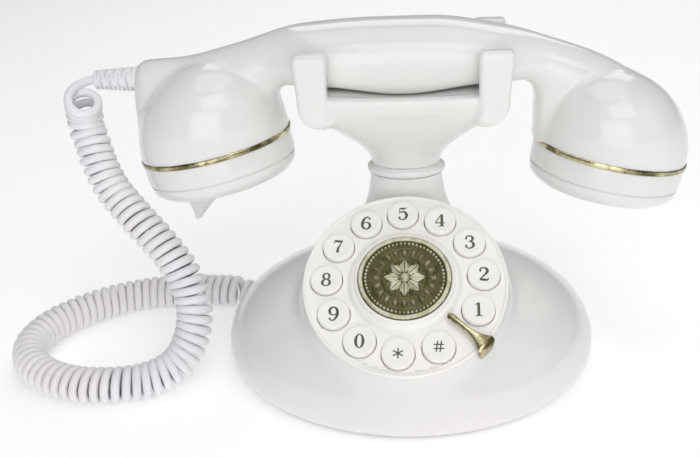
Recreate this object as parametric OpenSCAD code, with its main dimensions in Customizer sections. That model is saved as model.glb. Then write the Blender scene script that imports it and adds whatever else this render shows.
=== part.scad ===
// French-style cradle telephone: an oval domed base with a key dial, an oval
// neck with a pronged cradle, and a cupped handset on a curly cord.
// Millimetres. +X to the right, -Y to the front, +Z up. Z = 0 is the table.

/* [Base] */
// Width of the oval base
base_w = 162; // [154:1:172]
// Depth of the oval base, front to back
base_d = 134; // [130:1:142]
// Height of the crown of the domed base
dome_h = 48; // [46:0.5:51]
// Height of the widest line of the base
belly_h = 10; // [8.5:0.5:12]
// How far the foot of the base tucks in below its widest line
base_tuck = 5.5; // [4:0.5:7]
// Roundness of the dome's shoulder (2 is a plain ellipse)
dome_round = 2.15; // [2:0.05:2.3]
// Wall of the moulded shells
wall = 2.6; // [2.2:0.1:3]
// Thickness of the base plate
plate_t = 2.5; // [2:0.1:3]
// Gap round the base plate inside the housing
plate_gap = 0.3; // [0.2:0.05:0.5]
// Height that the rubber feet lift the housing
foot_h = 1.5; // [1.2:0.1:2]
// Radius of a rubber foot
foot_r = 6; // [5:0.5:7]
// Feet, left and right of the middle
foot_x = 46; // [40:1:50]
// Feet, front and back of the middle
foot_y = 34; // [30:1:36]
// Case screws, left and right of the middle
case_screw_x = 58; // [54:1:62]
// Case screws, front and back of the middle
case_screw_y = 15; // [12:1:18]
// Radius of the screw bosses
boss_r = 3.6; // [3.2:0.1:4.2]

/* [Dial] */
// Tilt of the dial from level, towards the front
dial_tilt = 31; // [29:0.5:33]
// Dial centre, in front of the middle of the base
dial_y = 28.7; // [28:0.1:29.5]
// Height of the dial's centre
dial_z = 52.3; // [51:0.1:54]
// Radius of the dial plate
dial_r = 41.7; // [41.3:0.1:42.5]
// Thickness of the dial plate
dial_t = 3; // [2.6:0.1:3.4]
// Wall of the pod under the dial
pod_wall = 1.6; // [1.4:0.1:2]
// How far the dial plate overhangs its pod
dial_lap = 0.5; // [0.3:0.1:0.7]
// Radius of the circle of keys
key_circle_r = 32; // [31.6:0.1:32.3]
// Angle from one key to the next
key_step = 29; // [28.5:0.1:29.3]
// Angle of key 1 on the dial, from the right
key_start = -24; // [-25:0.5:-23]
// Radius of a key
key_r = 6.5; // [6.2:0.1:6.7]
// Gap between a key and its hole
key_gap = 0.25; // [0.15:0.05:0.35]
// How far a key stands above the dial plate
key_rise = 1.8; // [1.4:0.1:2.2]
// Travel of a key
key_travel = 1.5; // [1.2:0.1:1.6]
// Radius of the flange that keeps a key in
key_flange_r = 7.2; // [7.1:0.05:7.3]
// Radius of the raised hub in the dial's middle
hub_r = 22.5; // [22:0.1:23]
// Radius of the medallion
medal_r = 18.9; // [18.5:0.1:19.2]
// Height of the medallion's face above the dial plate
medal_top = 4.6; // [4.2:0.1:5]

/* [Finger stop] */
// Angle of the finger stop on the dial, from the right
stop_angle = -42; // [-43:0.5:-41]
// Radius at which the finger stop's tip ends
stop_in = 23.2; // [23:0.1:24]
// Width of the finger stop at its tip
stop_tip_w = 3.2; // [2.8:0.1:3.6]
// Width of the finger stop at the dial's edge
stop_end_w = 8; // [7:0.5:9]
// Thickness of the finger stop's brass
stop_t = 1.2; // [1:0.1:1.4]
// Height of the finger stop above the dial plate
stop_lift = 2.2; // [1.8:0.1:2.6]

/* [Neck and cradle] */
// The cradle's middle, behind the middle of the base
cradle_y = 22; // [21.5:0.5:23]
// Half width of the neck under the bead
neck_w = 15.8; // [15:0.1:16.5]
// Depth of the oval neck as a share of its width
neck_oval = 0.7; // [0.66:0.01:0.74]
// Height of the neck's top
neck_top = 80; // [79:0.5:81]
// How far the neck flares out at the crown of the dome
neck_flare = 12; // [10:0.5:13]
// Height of the bead round the neck
bead_h = 4.4; // [4:0.1:5]
// How far the bead stands out from the neck
bead_out = 1; // [0.6:0.1:1.4]
// Height of the saddle's middle
saddle_z = 119.4; // [118.5:0.1:120.5]
// Height over which the neck flares out into the cradle
flare_rise = 36; // [35:0.5:37]
// Half width of the cradle under the prongs
wing_w = 41.8; // [41:0.1:42.5]
// Half depth of the cradle under the prongs
wing_d = 27.8; // [27.2:0.1:28.4]
// Thickness of a prong, front to back
prong_t = 7.6; // [7:0.1:7.8]
// Width of a prong
prong_w = 12.5; // [11:0.5:13]
// Height of the prong tips
prong_top = 140; // [136:0.5:142]
// How far a prong leans outwards at its tip
prong_lean = 1.7; // [1:0.1:2]

/* [Handset] */
// Half the distance between the middles of the two cups
cup_x = 85.3; // [84.5:0.1:86]
// How far the pair of cups sits towards the earpiece's end
cup_shift = 1.6; // [1:0.1:2]
// Height of the middle of the mouthpiece's rim on the cradle
cup_z = 95.5; // [95:0.1:96]
// How much lower the earpiece's rim sits than the mouthpiece's
ear_drop = 5.7; // [5:0.1:6.2]
// Tilt of the cups towards each other
cup_tilt = 11; // [10.4:0.2:12]
// How far the cups lean backwards
cup_lean = 6; // [5:0.5:7]
// Radius of a cup at its rim
cup_r = 32.3; // [32:0.1:32.9]
// Height of the mouthpiece dome above its rim
mouth_dome_h = 35.5; // [35:0.5:36.5]
// Height of the earpiece dome above its rim
ear_dome_h = 35.5; // [35:0.5:36.5]
// Depth of the handle, front to back
handle_d = 36; // [34:0.5:37]
// Height of the top of the handle's arch
handle_top = 147.4; // [146:0.1:149]
// Gap between the handle's belly and the saddle
saddle_gap = 0.3; // [0.2:0.05:0.4]
// Thickness of the trim rings
ring_t = 2.2; // [2:0.1:2.5]
// How far a trim ring stands out from its cup
ring_out = 0.6; // [0.4:0.1:0.8]
// Depth of the screw-on caps
cap_h = 18.5; // [17.5:0.5:19.5]
// Height that the handset is shown to lift off the cradle
handset_lift = 80; // [60:5:90]

/* [Hook switch] */
// Radius of the plunger's head
plunger_r = 4; // [3.6:0.1:4.4]
// Radial gap round the plunger's head
plunger_gap = 0.25; // [0.2:0.05:0.35]
// How far the plunger rises when the handset leaves
plunger_travel = 4; // [3:0.5:4]
// Radius of the plunger's rod
rod_r = 1.8; // [1.6:0.1:2]

/* [Cord] */
// Outside diameter of the curly cord
coil_d = 16.4; // [15:0.2:17]
// Diameter of the cord's plain wire
wire_d = 5; // [4.4:0.1:5.2]
// Length of the ribbed strain relief
boot_l = 19; // [17:0.5:21]

/* [Hidden] */
$fn = 64;
eps = 0.01;
oval = base_d / base_w;
base_r = base_w / 2;
shell_z = foot_h;
plate_top = foot_h + plate_t;
dial_pos = [0, -dial_y, dial_z];
pod_r = dial_r - dial_lap;
bead_z = neck_top;
cradle_z = bead_z + bead_h;
prong_foot_z = saddle_z - 8;
belly_z = saddle_z + saddle_gap;
half_d = handle_d / 2;
key_names = ["1", "2", "3", "4", "5", "6", "7", "8", "9", "0", "star", "hash"];
board_t = 1.6;
sheet_t = 1.2;
dome_rise = 0.3;
key_flange_t = 1.2;
key_flange_drop = 0.2;
key_stem = 0.9;
press_gap = 0.3;
key_low = dial_t + key_flange_drop + key_flange_t;
board_z = -(key_low + key_stem + key_travel + press_gap + dome_rise + sheet_t + board_t);
board_r = pod_r - pod_wall - 0.8;
pcb_z = 9;
jack_y = base_d / 2 - 30;
jack_x = 21 - base_r;
line_jack_x = 18;
line_jack_w = 13.6;
line_jack_d = 15;
line_jack_y = base_d / 2 - 5;
stop_out = dial_r + 0.3;
stop_foot_w = stop_end_w - 2;
stop_foot_low = -dial_t - 1.8;
fit_gap = 0.3;
hook_z = 24;
rod_bottom = hook_z;

white = [0.93, 0.92, 0.89];
cream = [0.95, 0.93, 0.87];
brass = [0.72, 0.56, 0.28];
bronze = [0.36, 0.35, 0.21];
steel = [0.62, 0.63, 0.65];
board_green = [0.10, 0.36, 0.20];
rubber = [0.16, 0.16, 0.17];
soft_white = [0.90, 0.90, 0.93];
dark = [0.12, 0.12, 0.13];

function lerp(a, b, t) = a + (b - a) * t;
function clamp01(t) = max(0, min(1, t));
function smooth(t) = let(u = clamp01(t)) u * u * (3 - 2 * u);

// Catmull-Rom value through sorted [x, value] pairs.
function seg(pts, x, i = 0) =
    (i >= len(pts) - 2 || x < pts[i + 1][0]) ? i : seg(pts, x, i + 1);
function knot(pts, i) = pts[max(0, min(len(pts) - 1, i))];
function slope(pts, i) =
    let(a = knot(pts, i - 1), b = knot(pts, i + 1)) (b[1] - a[1]) / max(eps, b[0] - a[0]);
function curve(pts, x) =
    let(i = seg(pts, x), a = knot(pts, i), b = knot(pts, i + 1), h = max(eps, b[0] - a[0]),
        t = clamp01((x - a[0]) / h), m0 = slope(pts, i) * h, m1 = slope(pts, i + 1) * h)
    (2 * t * t * t - 3 * t * t + 1) * a[1] + (t * t * t - 2 * t * t + t) * m0
    + (3 * t * t - 2 * t * t * t) * b[1] + (t * t * t - t * t) * m1;

// ---- Shapes shared by the housing and what fits in it ----

// Radius of the dome against height: a rolled-in foot below the widest line,
// and a rounded crown above it.
function dome_levels(r, h, foot) = concat(
    [for (i = [0:3]) let(t = i / 4)
        [r - base_tuck * (1 - sqrt(1 - pow(1 - t, 2))), lerp(foot, belly_h, t)]],
    [for (i = [0:9]) let(a = 9 * i)
        [r * pow(cos(a), 2 / dome_round), belly_h + (h - belly_h) * pow(sin(a), 2 / dome_round)]],
    [[r * 0.12, h]]);

module disc_at(r, z, squash, sides) {
    translate([0, 0, z]) linear_extrude(eps) scale([1, squash]) circle(r = r, $fn = sides);
}

module oval_dome(r, h, foot) {
    levels = dome_levels(r, h, foot);
    n = len(levels) - 1;
    for (i = [0:n - 1]) hull() for (k = [i, i + 1])
        disc_at(levels[k][0], levels[k][1] - (k == n ? eps : 0), oval, 64);
}

module at_dial() {
    translate(dial_pos) rotate([dial_tilt, 0, 0]) children();
}

// What lies above a height, to stop a tilted cylinder before the floor.
module above(z) {
    intersection() {
        children();
        translate([-base_w / 2, -base_w / 2, z]) cube([base_w, base_w, 100]);
    }
}

function neck_r(z) = neck_w + neck_flare * pow(clamp01((neck_top - z) / (neck_top - dome_h)), 2);

module neck(inset, z0, z1) {
    n = 7;
    translate([0, cradle_y, 0]) for (i = [0:n - 1]) hull() for (k = [i, i + 1]) {
        z = lerp(z0, z1, k / n);
        disc_at(neck_r(z) - inset, z - (k == n ? eps : 0), neck_oval, 44);
    }
}

module case_screw_places() {
    for (x = [-case_screw_x, case_screw_x], y = [-case_screw_y, case_screw_y])
        translate([x, y, 0]) children();
}

module foot_places() {
    for (x = [-foot_x, foot_x], y = [-foot_y, foot_y]) translate([x, y, 0]) children();
}

// Openings in the rear and the side of the housing for the two jacks.
module jack_windows() {
    translate([line_jack_x - line_jack_w / 2 - 0.2, line_jack_y - 9, 5])
        cube([line_jack_w + 0.4, 16, 13]);
    translate([-base_r, jack_y - 6.5, 5]) cube([base_r + jack_x + 3, 13, 12]);
}

// Room in the housing for the finger stop's foot and its tongue.
module stop_room() {
    at_dial() rotate([0, 0, stop_angle]) {
        translate([pod_r - pod_wall - 1, -tongue_w / 2 - 0.2, -dial_t - tongue_gap - tongue_t - 0.2])
            cube([pod_wall + 3, tongue_w + 0.4, tongue_t + tongue_gap + 0.4]);
        translate([stop_out - fit_gap, -stop_foot_w / 2 - fit_gap, stop_foot_low - fit_gap])
            cube([stop_t + 4, stop_foot_w + 2 * fit_gap, fit_gap - stop_foot_low]);
    }
}

// ---- Base ----

module base_housing() {
    color(white) difference() {
        union() {
            difference() {
                union() {
                    oval_dome(base_r, dome_h, shell_z);
                    above(belly_h + 6) at_dial() translate([0, 0, -50])
                        cylinder(r = pod_r, h = 50 - dial_t);
                    neck(0, dome_h - 6, neck_top);
                }
                oval_dome(base_r - wall, dome_h - wall, shell_z - eps);
                above(belly_h + 6) at_dial() translate([0, 0, -50])
                    cylinder(r = pod_r - pod_wall, h = 60);
                neck(wall, dome_h - 7, neck_top + 1);
            }
            intersection() {
                case_screw_places() translate([0, 0, plate_top])
                    cylinder(r = boss_r, h = dome_h, $fn = 24);
                oval_dome(base_r - wall / 2, dome_h - wall / 2, shell_z);
            }
            guide_web();
        }
        case_screw_places() translate([0, 0, plate_top - eps]) cylinder(r = 1.25, h = 14, $fn = 24);
        translate([0, cradle_y, guide_z - 1]) cylinder(r = rod_r + 0.3, h = 6, $fn = 32);
        stop_room();
        jack_windows();
    }
}

// Web across the neck that guides the plunger's rod and seats its spring.
guide_z = 72;
guide_t = 2.4;
module guide_web() {
    intersection() {
        translate([-base_r, 0, guide_z]) cube([base_w, base_d, guide_t]);
        neck(wall / 2, dome_h, neck_top);
    }
}

module plate_outline(gap) {
    scale([1, oval, 1]) circle(r = base_r - base_tuck - wall - gap, $fn = 96);
}

module base_plate() {
    color(white) difference() {
        union() {
            translate([0, 0, foot_h]) linear_extrude(plate_t) plate_outline(plate_gap);
            pcb_post_places() translate([0, 0, plate_top - eps])
                cylinder(r = 2.6, h = pcb_z - plate_top + eps, $fn = 24);
        }
        case_screw_places() {
            translate([0, 0, foot_h - eps]) cylinder(r = 1.6, h = plate_t + 1, $fn = 24);
            translate([0, 0, foot_h - eps]) cylinder(r = 3, h = 1.4 + 2 * eps, $fn = 24);
        }
        pcb_post_places() translate([0, 0, plate_top]) cylinder(r = 1.1, h = pcb_z, $fn = 24);
        translate([slider_x - 5, slider_y - 2, 0]) cube([10, 4, plate_top + 1]);
    }
}

module rubber_feet() {
    color(rubber) foot_places() cylinder(r = foot_r, h = foot_h, $fn = 48);
}

module base_screws() {
    color(steel) case_screw_places() {
        translate([0, 0, foot_h + 0.2]) cylinder(r = 2.8, h = 1.2, $fn = 24);
        translate([0, 0, foot_h + 1.4]) cylinder(r = 1.2, h = 13, $fn = 24);
    }
}

// Steel plate that keeps the base from sliding, screwed down behind the board.
weight_w = base_w - 78;
weight_d = 22;
weight_h = 7;
module ballast_weight() {
    color(steel) translate([-weight_w / 2, 19 - base_d / 2, plate_top])
        cube([weight_w, weight_d, weight_h]);
}

// ---- Dial ----

function key_angle(i) = key_start + key_step * i;

module at_key(i) {
    at_dial() rotate([0, 0, key_angle(i)]) translate([key_circle_r, 0, 0])
        rotate([0, 0, -key_angle(i)]) children();
}

dial_boss_r = 14;
sheet_top = board_z + board_t + sheet_t;
module dial_boss_places() {
    for (a = [45:90:315]) rotate([0, 0, a]) translate([dial_boss_r, 0, 0]) children();
}

module dial_plate() {
    recess = medal_top - 2.2;
    color(cream) at_dial() difference() {
        union() {
            translate([0, 0, -dial_t]) cylinder(r = dial_r, h = dial_t, $fn = 96);
            rotate_extrude($fn = 96) polygon([[0, -eps], [hub_r, -eps], [hub_r, 1.2], [hub_r - 0.8, 2],
                [hub_r - 2, 2.2], [medal_r + 1.2, medal_top - 0.8], [medal_r + 0.6, medal_top - 0.6],
                [0, medal_top - 0.6]]);
            dial_boss_places() translate([0, 0, sheet_top])
                cylinder(r = 2.6, h = -dial_t - sheet_top + eps, $fn = 24);
            for (i = [0, 3, 6, 9]) rotate([0, 0, key_angle(i) + key_step / 2])
                translate([pod_r - pod_wall - 1.5, -1.5, -dial_t - 2.6]) cube([1.3, 3, 2.6 + eps]);
        }
        translate([0, 0, recess]) cylinder(r = medal_r + 0.15, h = 5, $fn = 96);
        for (i = [0:11]) rotate([0, 0, key_angle(i)]) translate([key_circle_r, 0, -dial_t - 1])
            cylinder(r = key_r + key_gap, h = dial_t + 2, $fn = 48);
        dial_boss_places() translate([0, 0, board_z - 1])
            cylinder(r = 1.1, h = -board_z - dial_t + 1, $fn = 24);
    }
}

module medallion() {
    recess = medal_top - 2.2;
    color(bronze) at_dial() rotate_extrude($fn = 96) polygon([[0, recess], [medal_r, recess],
        [medal_r, medal_top - 0.5], [medal_r - 0.5, medal_top], [medal_r - 1.4, medal_top],
        [medal_r - 1.8, medal_top - 0.5], [0, medal_top - 0.5]]);
}

// Brass finger stop: a tapering bar over the dial, bent down over the rim,
// with a tongue that clips under the edge of the dial plate.
tongue_w = 5;
tongue_t = 1;
tongue_gap = 0.1;
module finger_stop() {
    color(brass) at_dial() rotate([0, 0, stop_angle]) {
        translate([0, 0, stop_lift]) linear_extrude(stop_t) union() {
            translate([stop_in + stop_tip_w / 2, 0]) circle(d = stop_tip_w, $fn = 32);
            polygon([[stop_in + stop_tip_w / 2, -stop_tip_w / 2], [33, -stop_tip_w * 0.62],
                [stop_out + stop_t, -stop_end_w / 2], [stop_out + stop_t, stop_end_w / 2],
                [33, stop_tip_w * 0.62], [stop_in + stop_tip_w / 2, stop_tip_w / 2]]);
        }
        translate([stop_out, -stop_foot_w / 2, stop_foot_low])
            cube([stop_t, stop_foot_w, stop_lift - stop_foot_low]);
        translate([pod_r - pod_wall - 0.7, -tongue_w / 2, -dial_t - tongue_gap - tongue_t])
            cube([stop_out + stop_t / 2 - pod_r + pod_wall + 0.7, tongue_w, tongue_t]);
    }
}

module key_cap(i) {
    color(cream) at_key(i) {
        difference() {
            translate([0, 0, -key_low]) cylinder(r = key_r, h = key_rise + key_low, $fn = 48);
            translate([0, 0, key_rise + 27.6]) sphere(r = 28, $fn = 64);
        }
        translate([0, 0, -key_low]) cylinder(r = key_flange_r, h = key_flange_t, $fn = 48);
        translate([0, 0, -key_low - key_stem]) cylinder(r = 2.2, h = key_stem + eps, $fn = 24);
    }
}

// Rubber sheet with a dome under each key.
module keypad_membrane() {
    color(soft_white) at_dial() translate([0, 0, board_z + board_t]) difference() {
        union() {
            cylinder(r = board_r, h = sheet_t, $fn = 96);
            for (i = [0:11]) rotate([0, 0, key_angle(i)]) translate([key_circle_r, 0, 0])
                cylinder(r1 = 4, r2 = 2.6, h = sheet_t + dome_rise, $fn = 32);
        }
        dial_boss_places() translate([0, 0, -1]) cylinder(r = 1.3, h = 4, $fn = 24);
    }
}

module keypad_board() {
    color(board_green) at_dial() translate([0, 0, board_z]) difference() {
        cylinder(r = board_r, h = board_t, $fn = 96);
        dial_boss_places() translate([0, 0, -1]) cylinder(r = 1.3, h = 4, $fn = 24);
    }
}

module keypad_screws() {
    color(steel) at_dial() dial_boss_places() translate([0, 0, board_z]) {
        translate([0, 0, -1.2]) cylinder(r = 2, h = 1.2, $fn = 24);
        cylinder(r = 1.05, h = board_t + sheet_t + 3, $fn = 24);
    }
}

// ---- Neck bead and cradle ----

module neck_collar() {
    in_r = neck_w - wall - 0.1;
    mid = neck_w - 0.5;
    color(white) translate([0, cradle_y, bead_z]) scale([1, neck_oval, 1]) rotate_extrude($fn = 48)
        polygon(concat([[in_r, 0]],
            [for (a = [-75:30:75]) [mid + (0.5 + bead_out) * cos(a), bead_h / 2 + bead_h / 2 * sin(a)]],
            [[in_r, bead_h]]));
}

// Half width, half depth and corner squareness of the cradle at height z.
function rise(z) = smooth((z - cradle_z) / flare_rise);
function cradle_w(z) = lerp(neck_w - 0.8, wing_w, rise(z));
function cradle_dep(z) = lerp((neck_w - 0.8) * neck_oval, wing_d, rise(z));
function cradle_n(z) = lerp(2, 6, rise(z));

function squircle(w, d, n, m = 36) = [for (i = [0:m - 1])
    let(a = 360 * i / m, c = cos(a), s = sin(a))
    [w * sign(c) * pow(abs(c), 2 / n), d * sign(s) * pow(abs(s), 2 / n)]];

// Body of the cradle as a stack of slices, drawn in by an inset.
module cradle_body(inset, z0, z1) {
    n = 11;
    translate([0, cradle_y, 0]) for (i = [0:n - 1]) hull() for (k = [i, i + 1]) {
        z = lerp(z0, z1, k / n);
        translate([0, 0, z - (k == n ? eps : 0)]) linear_extrude(eps)
            polygon(squircle(cradle_w(z) - inset, cradle_dep(z) - inset, cradle_n(z)));
    }
}

function belly(x) = let(u = clamp01(abs(x) / 36)) 1.85 * (1 - cos(180 * u));

// The curve that the saddle shares with the underside of the handle.
module saddle_cut() {
    n = 24;
    reach = wing_w + 5;
    translate([0, cradle_y + wing_d + 5, 0]) rotate([90, 0, 0]) linear_extrude(2 * wing_d + 10)
        polygon(concat([[-reach, saddle_z + 20]],
            [for (i = [0:n]) let(x = lerp(-reach, reach, i / n)) [x, saddle_z + belly(x) * 0.62]],
            [[reach, saddle_z + 20]]));
}

module prong(sx, sy) {
    rc = 2.4;
    foot_x0 = wing_w - prong_w + 1;
    tip_x0 = foot_x0 - 0.6;
    y1 = wing_d;
    color(white) hull() {
        for (x = [foot_x0 + rc, wing_w - rc - 0.6], y = [y1 - prong_t + rc, y1 - rc])
            translate([sx * x, cradle_y + sy * y, prong_foot_z]) cylinder(r = rc, h = 1, $fn = 20);
        for (x = [tip_x0 + rc, wing_w + prong_lean - rc], y = [y1 - prong_t + rc, y1 - rc])
            translate([sx * x, cradle_y + sy * y, prong_top - rc]) sphere(r = rc, $fn = 20);
    }
}

module cradle() {
    floor_z = saddle_z - wall;
    spigot_r = neck_w - wall - 0.25;
    color(white) difference() {
        union() {
            difference() {
                cradle_body(0, cradle_z, saddle_z + 3);
                saddle_cut();
            }
            for (sx = [-1, 1], sy = [-1, 1]) prong(sx, sy);
            translate([0, cradle_y, 0]) scale([1, neck_oval, 1])
                translate([0, 0, bead_z - 4]) cylinder(r = spigot_r, h = bead_h + 4 + eps, $fn = 48);
        }
        difference() {
            cradle_body(wall, cradle_z, floor_z);
            translate([0, cradle_y, floor_z - 9]) cylinder(r = plunger_r + 2.4, h = 12, $fn = 40);
        }
        translate([0, cradle_y, 0]) scale([1, neck_oval, 1])
            translate([0, 0, bead_z - 5]) cylinder(r = spigot_r - 2, h = bead_h + 6, $fn = 48);
        translate([0, cradle_y, floor_z - 12]) cylinder(r = plunger_r + plunger_gap, h = 40, $fn = 40);
    }
}

// ---- Hook switch ----

head_h = 10;
module hook_plunger() {
    top = saddle_z - 0.1;
    color(soft_white) translate([0, cradle_y, 0]) {
        translate([0, 0, top - head_h]) cylinder(r = plunger_r, h = head_h, $fn = 40);
        translate([0, 0, rod_bottom]) cylinder(r = rod_r, h = top - head_h - rod_bottom + eps, $fn = 32);
    }
}

// Return spring between the guide web and the plunger's head.
spring_turns = 7;
spring_wire_r = 0.45;
module hook_spring() {
    z0 = guide_z + guide_t + spring_wire_r + 0.02;
    z1 = saddle_z - 0.1 - head_h - spring_wire_r - 0.05;
    r = rod_r + 1.1;
    m = 10;
    k = 5;
    n = spring_turns * m;
    pts = [for (i = [0:n]) let(a = 360 * i / m, z = lerp(z0, z1, i / n)) for (j = [0:k - 1])
        let(b = 360 * j / k, rr = r + spring_wire_r * cos(b))
        [rr * cos(a), rr * sin(a) + cradle_y, z + spring_wire_r * sin(b)]];
    faces = concat([[for (j = [0:k - 1]) j]], [[for (j = [k - 1:-1:0]) n * k + j]],
        [for (i = [0:n - 1], j = [0:k - 1])
            [i * k + j, (i + 1) * k + j, (i + 1) * k + (j + 1) % k, i * k + (j + 1) % k]]);
    color(steel) polyhedron(pts, faces, convexity = 8);
}

// Switch on the main board, with a hinged lever under the plunger's rod.
lever_pivot_x = 14;
lever_z = hook_z - 1.6;
module hook_switch() {
    top = pcb_z + board_t;
    color(dark) {
        translate([5, cradle_y - 4, top]) cube([14, 8, 7]);
        for (y = [-4, 2.6]) translate([lever_pivot_x - 2, cradle_y + y, top + 7 - eps])
            difference() {
                cube([4, 1.4, lever_z - top - 7 + 2.5]);
                translate([2, -1, lever_z - top - 7]) rotate([-90, 0, 0])
                    cylinder(r = 0.85, h = 4, $fn = 24);
            }
    }
}

module hook_lever() {
    color(steel) {
        translate([-3, cradle_y - 2, lever_z]) cube([lever_pivot_x + 3, 4, 1.2]);
        translate([lever_pivot_x, cradle_y - 3.9, lever_z]) rotate([-90, 0, 0])
            cylinder(r = 0.8, h = 7.8, $fn = 24);
        translate([lever_pivot_x, cradle_y - 2, lever_z]) rotate([-90, 0, 0])
            cylinder(r = 1.5, h = 4, $fn = 24);
    }
}

// ---- Electronics in the base ----

pcb_w = 76;
pcb_d = 58;
pcb_y = base_d / 2 - 79;
module pcb_post_places() {
    for (x = [-pcb_w / 2 + 4, pcb_w / 2 - 4], y = [pcb_y + 4, pcb_y + pcb_d - 4])
        translate([x, y, 0]) children();
}

module main_board() {
    color(board_green) difference() {
        translate([-pcb_w / 2, pcb_y, pcb_z]) cube([pcb_w, pcb_d, board_t]);
        pcb_post_places() translate([0, 0, pcb_z - 1]) cylinder(r = 1.3, h = 4, $fn = 24);
    }
}

module board_screws() {
    color(steel) pcb_post_places() translate([0, 0, pcb_z]) {
        translate([0, 0, board_t]) cylinder(r = 2.1, h = 1.3, $fn = 24);
        translate([0, 0, -4]) cylinder(r = 1.05, h = 4 + board_t, $fn = 24);
    }
}

module ringer_disc() {
    color(brass) translate([-20, pcb_y + 16, pcb_z + board_t]) cylinder(r = 11, h = 5, $fn = 48);
}

module line_jack() {
    y1 = line_jack_y;
    color(dark) difference() {
        translate([line_jack_x - line_jack_w / 2, y1 - line_jack_d, plate_top + 1.2])
            cube([line_jack_w, line_jack_d, 12.6]);
        translate([line_jack_x - 5, y1 - 12, plate_top + 4.2]) cube([10, 13, 7.4]);
        translate([line_jack_x - 2, y1 - 12, plate_top + 2.6]) cube([4, 13, 2]);
    }
    color(dark) translate([line_jack_x - 5, y1 - 14, plate_top]) cube([10, 10, 1.2 + eps]);
}

module handset_jack() {
    z0 = plate_top + 1.2;
    color(dark) difference() {
        translate([jack_x, jack_y - 6, z0]) cube([14, 12, 11.6]);
        translate([jack_x - 1, jack_y - 4, z0 + 2.2]) cube([12, 8, 7]);
    }
    color(dark) translate([jack_x + 2, jack_y - 4, plate_top]) cube([10, 8, 1.2 + eps]);
}

// Clear plug on the end of the cord, seated in the jack.
plug_end = jack_x - 5;
module modular_plug() {
    z0 = plate_top + 1.2 + 2.4;
    color(soft_white) translate([plug_end, jack_y - 3.8, z0]) cube([jack_x - plug_end + 10.6, 7.6, 6.6]);
}

slider_x = 22;
slider_y = 30;
slide_travel = 2;
module ringer_switch() {
    z0 = plate_top + 0.4;
    color(steel) difference() {
        translate([slider_x - 6, slider_y - 3.5, z0]) cube([12, 7, pcb_z - z0]);
        translate([slider_x - 4.2, slider_y - 1.7, z0 - 1]) cube([8.4, 3.4, 3.4]);
    }
}

module ringer_slider() {
    color(dark) translate([slider_x - 1.6 - slide_travel, slider_y - 1.4, foot_h - 0.6])
        cube([3.2, 2.8, plate_t + 2.4]);
}

// ---- Handset ----

// Ridge of the handle along X, as a share of the arch's height above the cup rims.
arch_h = handle_top - cup_z;
ridge_knots = [[-120, -0.106], [-117, 0.241], [-114.6, 0.511], [-112.6, 0.618], [-109, 0.657],
    [-96, 0.676], [-73, 0.757], [-43, 0.95], [-10, 1], [10, 1], [40, 0.9], [60, 0.772],
    [80, 0.618], [97.5, 0.437], [109, 0.222]];
function top_z(x) = cup_z + arch_h * curve(ridge_knots, x);
function way(x) = x < 0 ? -1 : 1;
function cup_at(side) = [side * cup_x + cup_shift, cradle_y, cup_z - (side > 0 ? ear_drop : 0)];
function rim_z(x) = let(side = way(x), middle = cup_at(side))
    middle[2] - tan(cup_tilt) * side * (x - middle[0]) - half_d * sin(cup_lean);
neck_in = cup_x - cup_r * cos(cup_tilt) + 0.6;
function under_z(x) =
    let(a = abs(x), u = clamp01((neck_in - a) / 7))
    a > neck_in ? rim_z(x)
        : lerp(rim_z(way(x) * neck_in), belly_z + 3.7, sqrt(1 - pow(1 - u, 2))) - 3.7 + belly(min(a, 36));

// How far the sides come in at the cord's end, which is rounded in plan.
left_end = -119.6;
end_round = 10;
function end_in(x) = end_round - sqrt(pow(end_round, 2) - pow(max(0, left_end + end_round - x), 2));

// Slice of the handle, square to X, with round shoulders and a flatter keel.
module handle_slice(x, inset) {
    zt = top_z(x) - inset;
    zb = min(under_z(x) + inset, zt - 1);
    h = zt - zb;
    d = half_d - end_in(x) - inset;
    rt = min(8, h * 0.45, d);
    rb = min(3, h * 0.3);
    translate([x, cradle_y, 0]) rotate([90, 0, 90]) linear_extrude(eps)
        polygon(concat(
            [for (a = [0:22.5:90]) [d - rt + rt * cos(a), zt - rt + rt * sin(a)]],
            [for (a = [90:22.5:180]) [-d + rt + rt * cos(a), zt - rt + rt * sin(a)]],
            [for (a = [180:45:270]) [-d + rb + rb * cos(a), zb + rb + rb * sin(a)]],
            [for (a = [270:45:360]) [d - rb + rb * cos(a), zb + rb + rb * sin(a)]]));
}

right_end = 99;
stations = concat([left_end, -118, -115.5, -113.4, -111, -106], [for (x = [-98:10:-58]) x],
    [-neck_in - 0.2, -neck_in, -neck_in + 0.3, -neck_in + 1.2, -neck_in + 3, -neck_in + 6],
    [for (x = [-40:8:40]) x],
    [neck_in - 6, neck_in - 3, neck_in - 1.2, neck_in - 0.3, neck_in, neck_in + 0.2],
    [58, 68, 78, 88]);

module handle_body(inset, x0, x1) {
    xs = [for (x = stations) if (x > x0 && x < x1) x];
    all = concat([x0], xs, [x1]);
    for (i = [0:len(all) - 2]) hull() {
        handle_slice(all[i], inset);
        handle_slice(all[i + 1], inset);
    }
}

// Frame of a cup: origin in the middle of its rim, Z up its axis.
module at_cup(side) {
    translate(cup_at(side)) rotate([0, side * cup_tilt, 0]) rotate([-cup_lean, 0, 0]) children();
}

module cup_dome(r, h) {
    rotate_extrude($fn = 56) polygon(concat([[0, 0]],
        [for (i = [0:9]) let(a = 10 * i) [r * pow(cos(a), 0.94), h * pow(sin(a), 0.94)]]));
}

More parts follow.
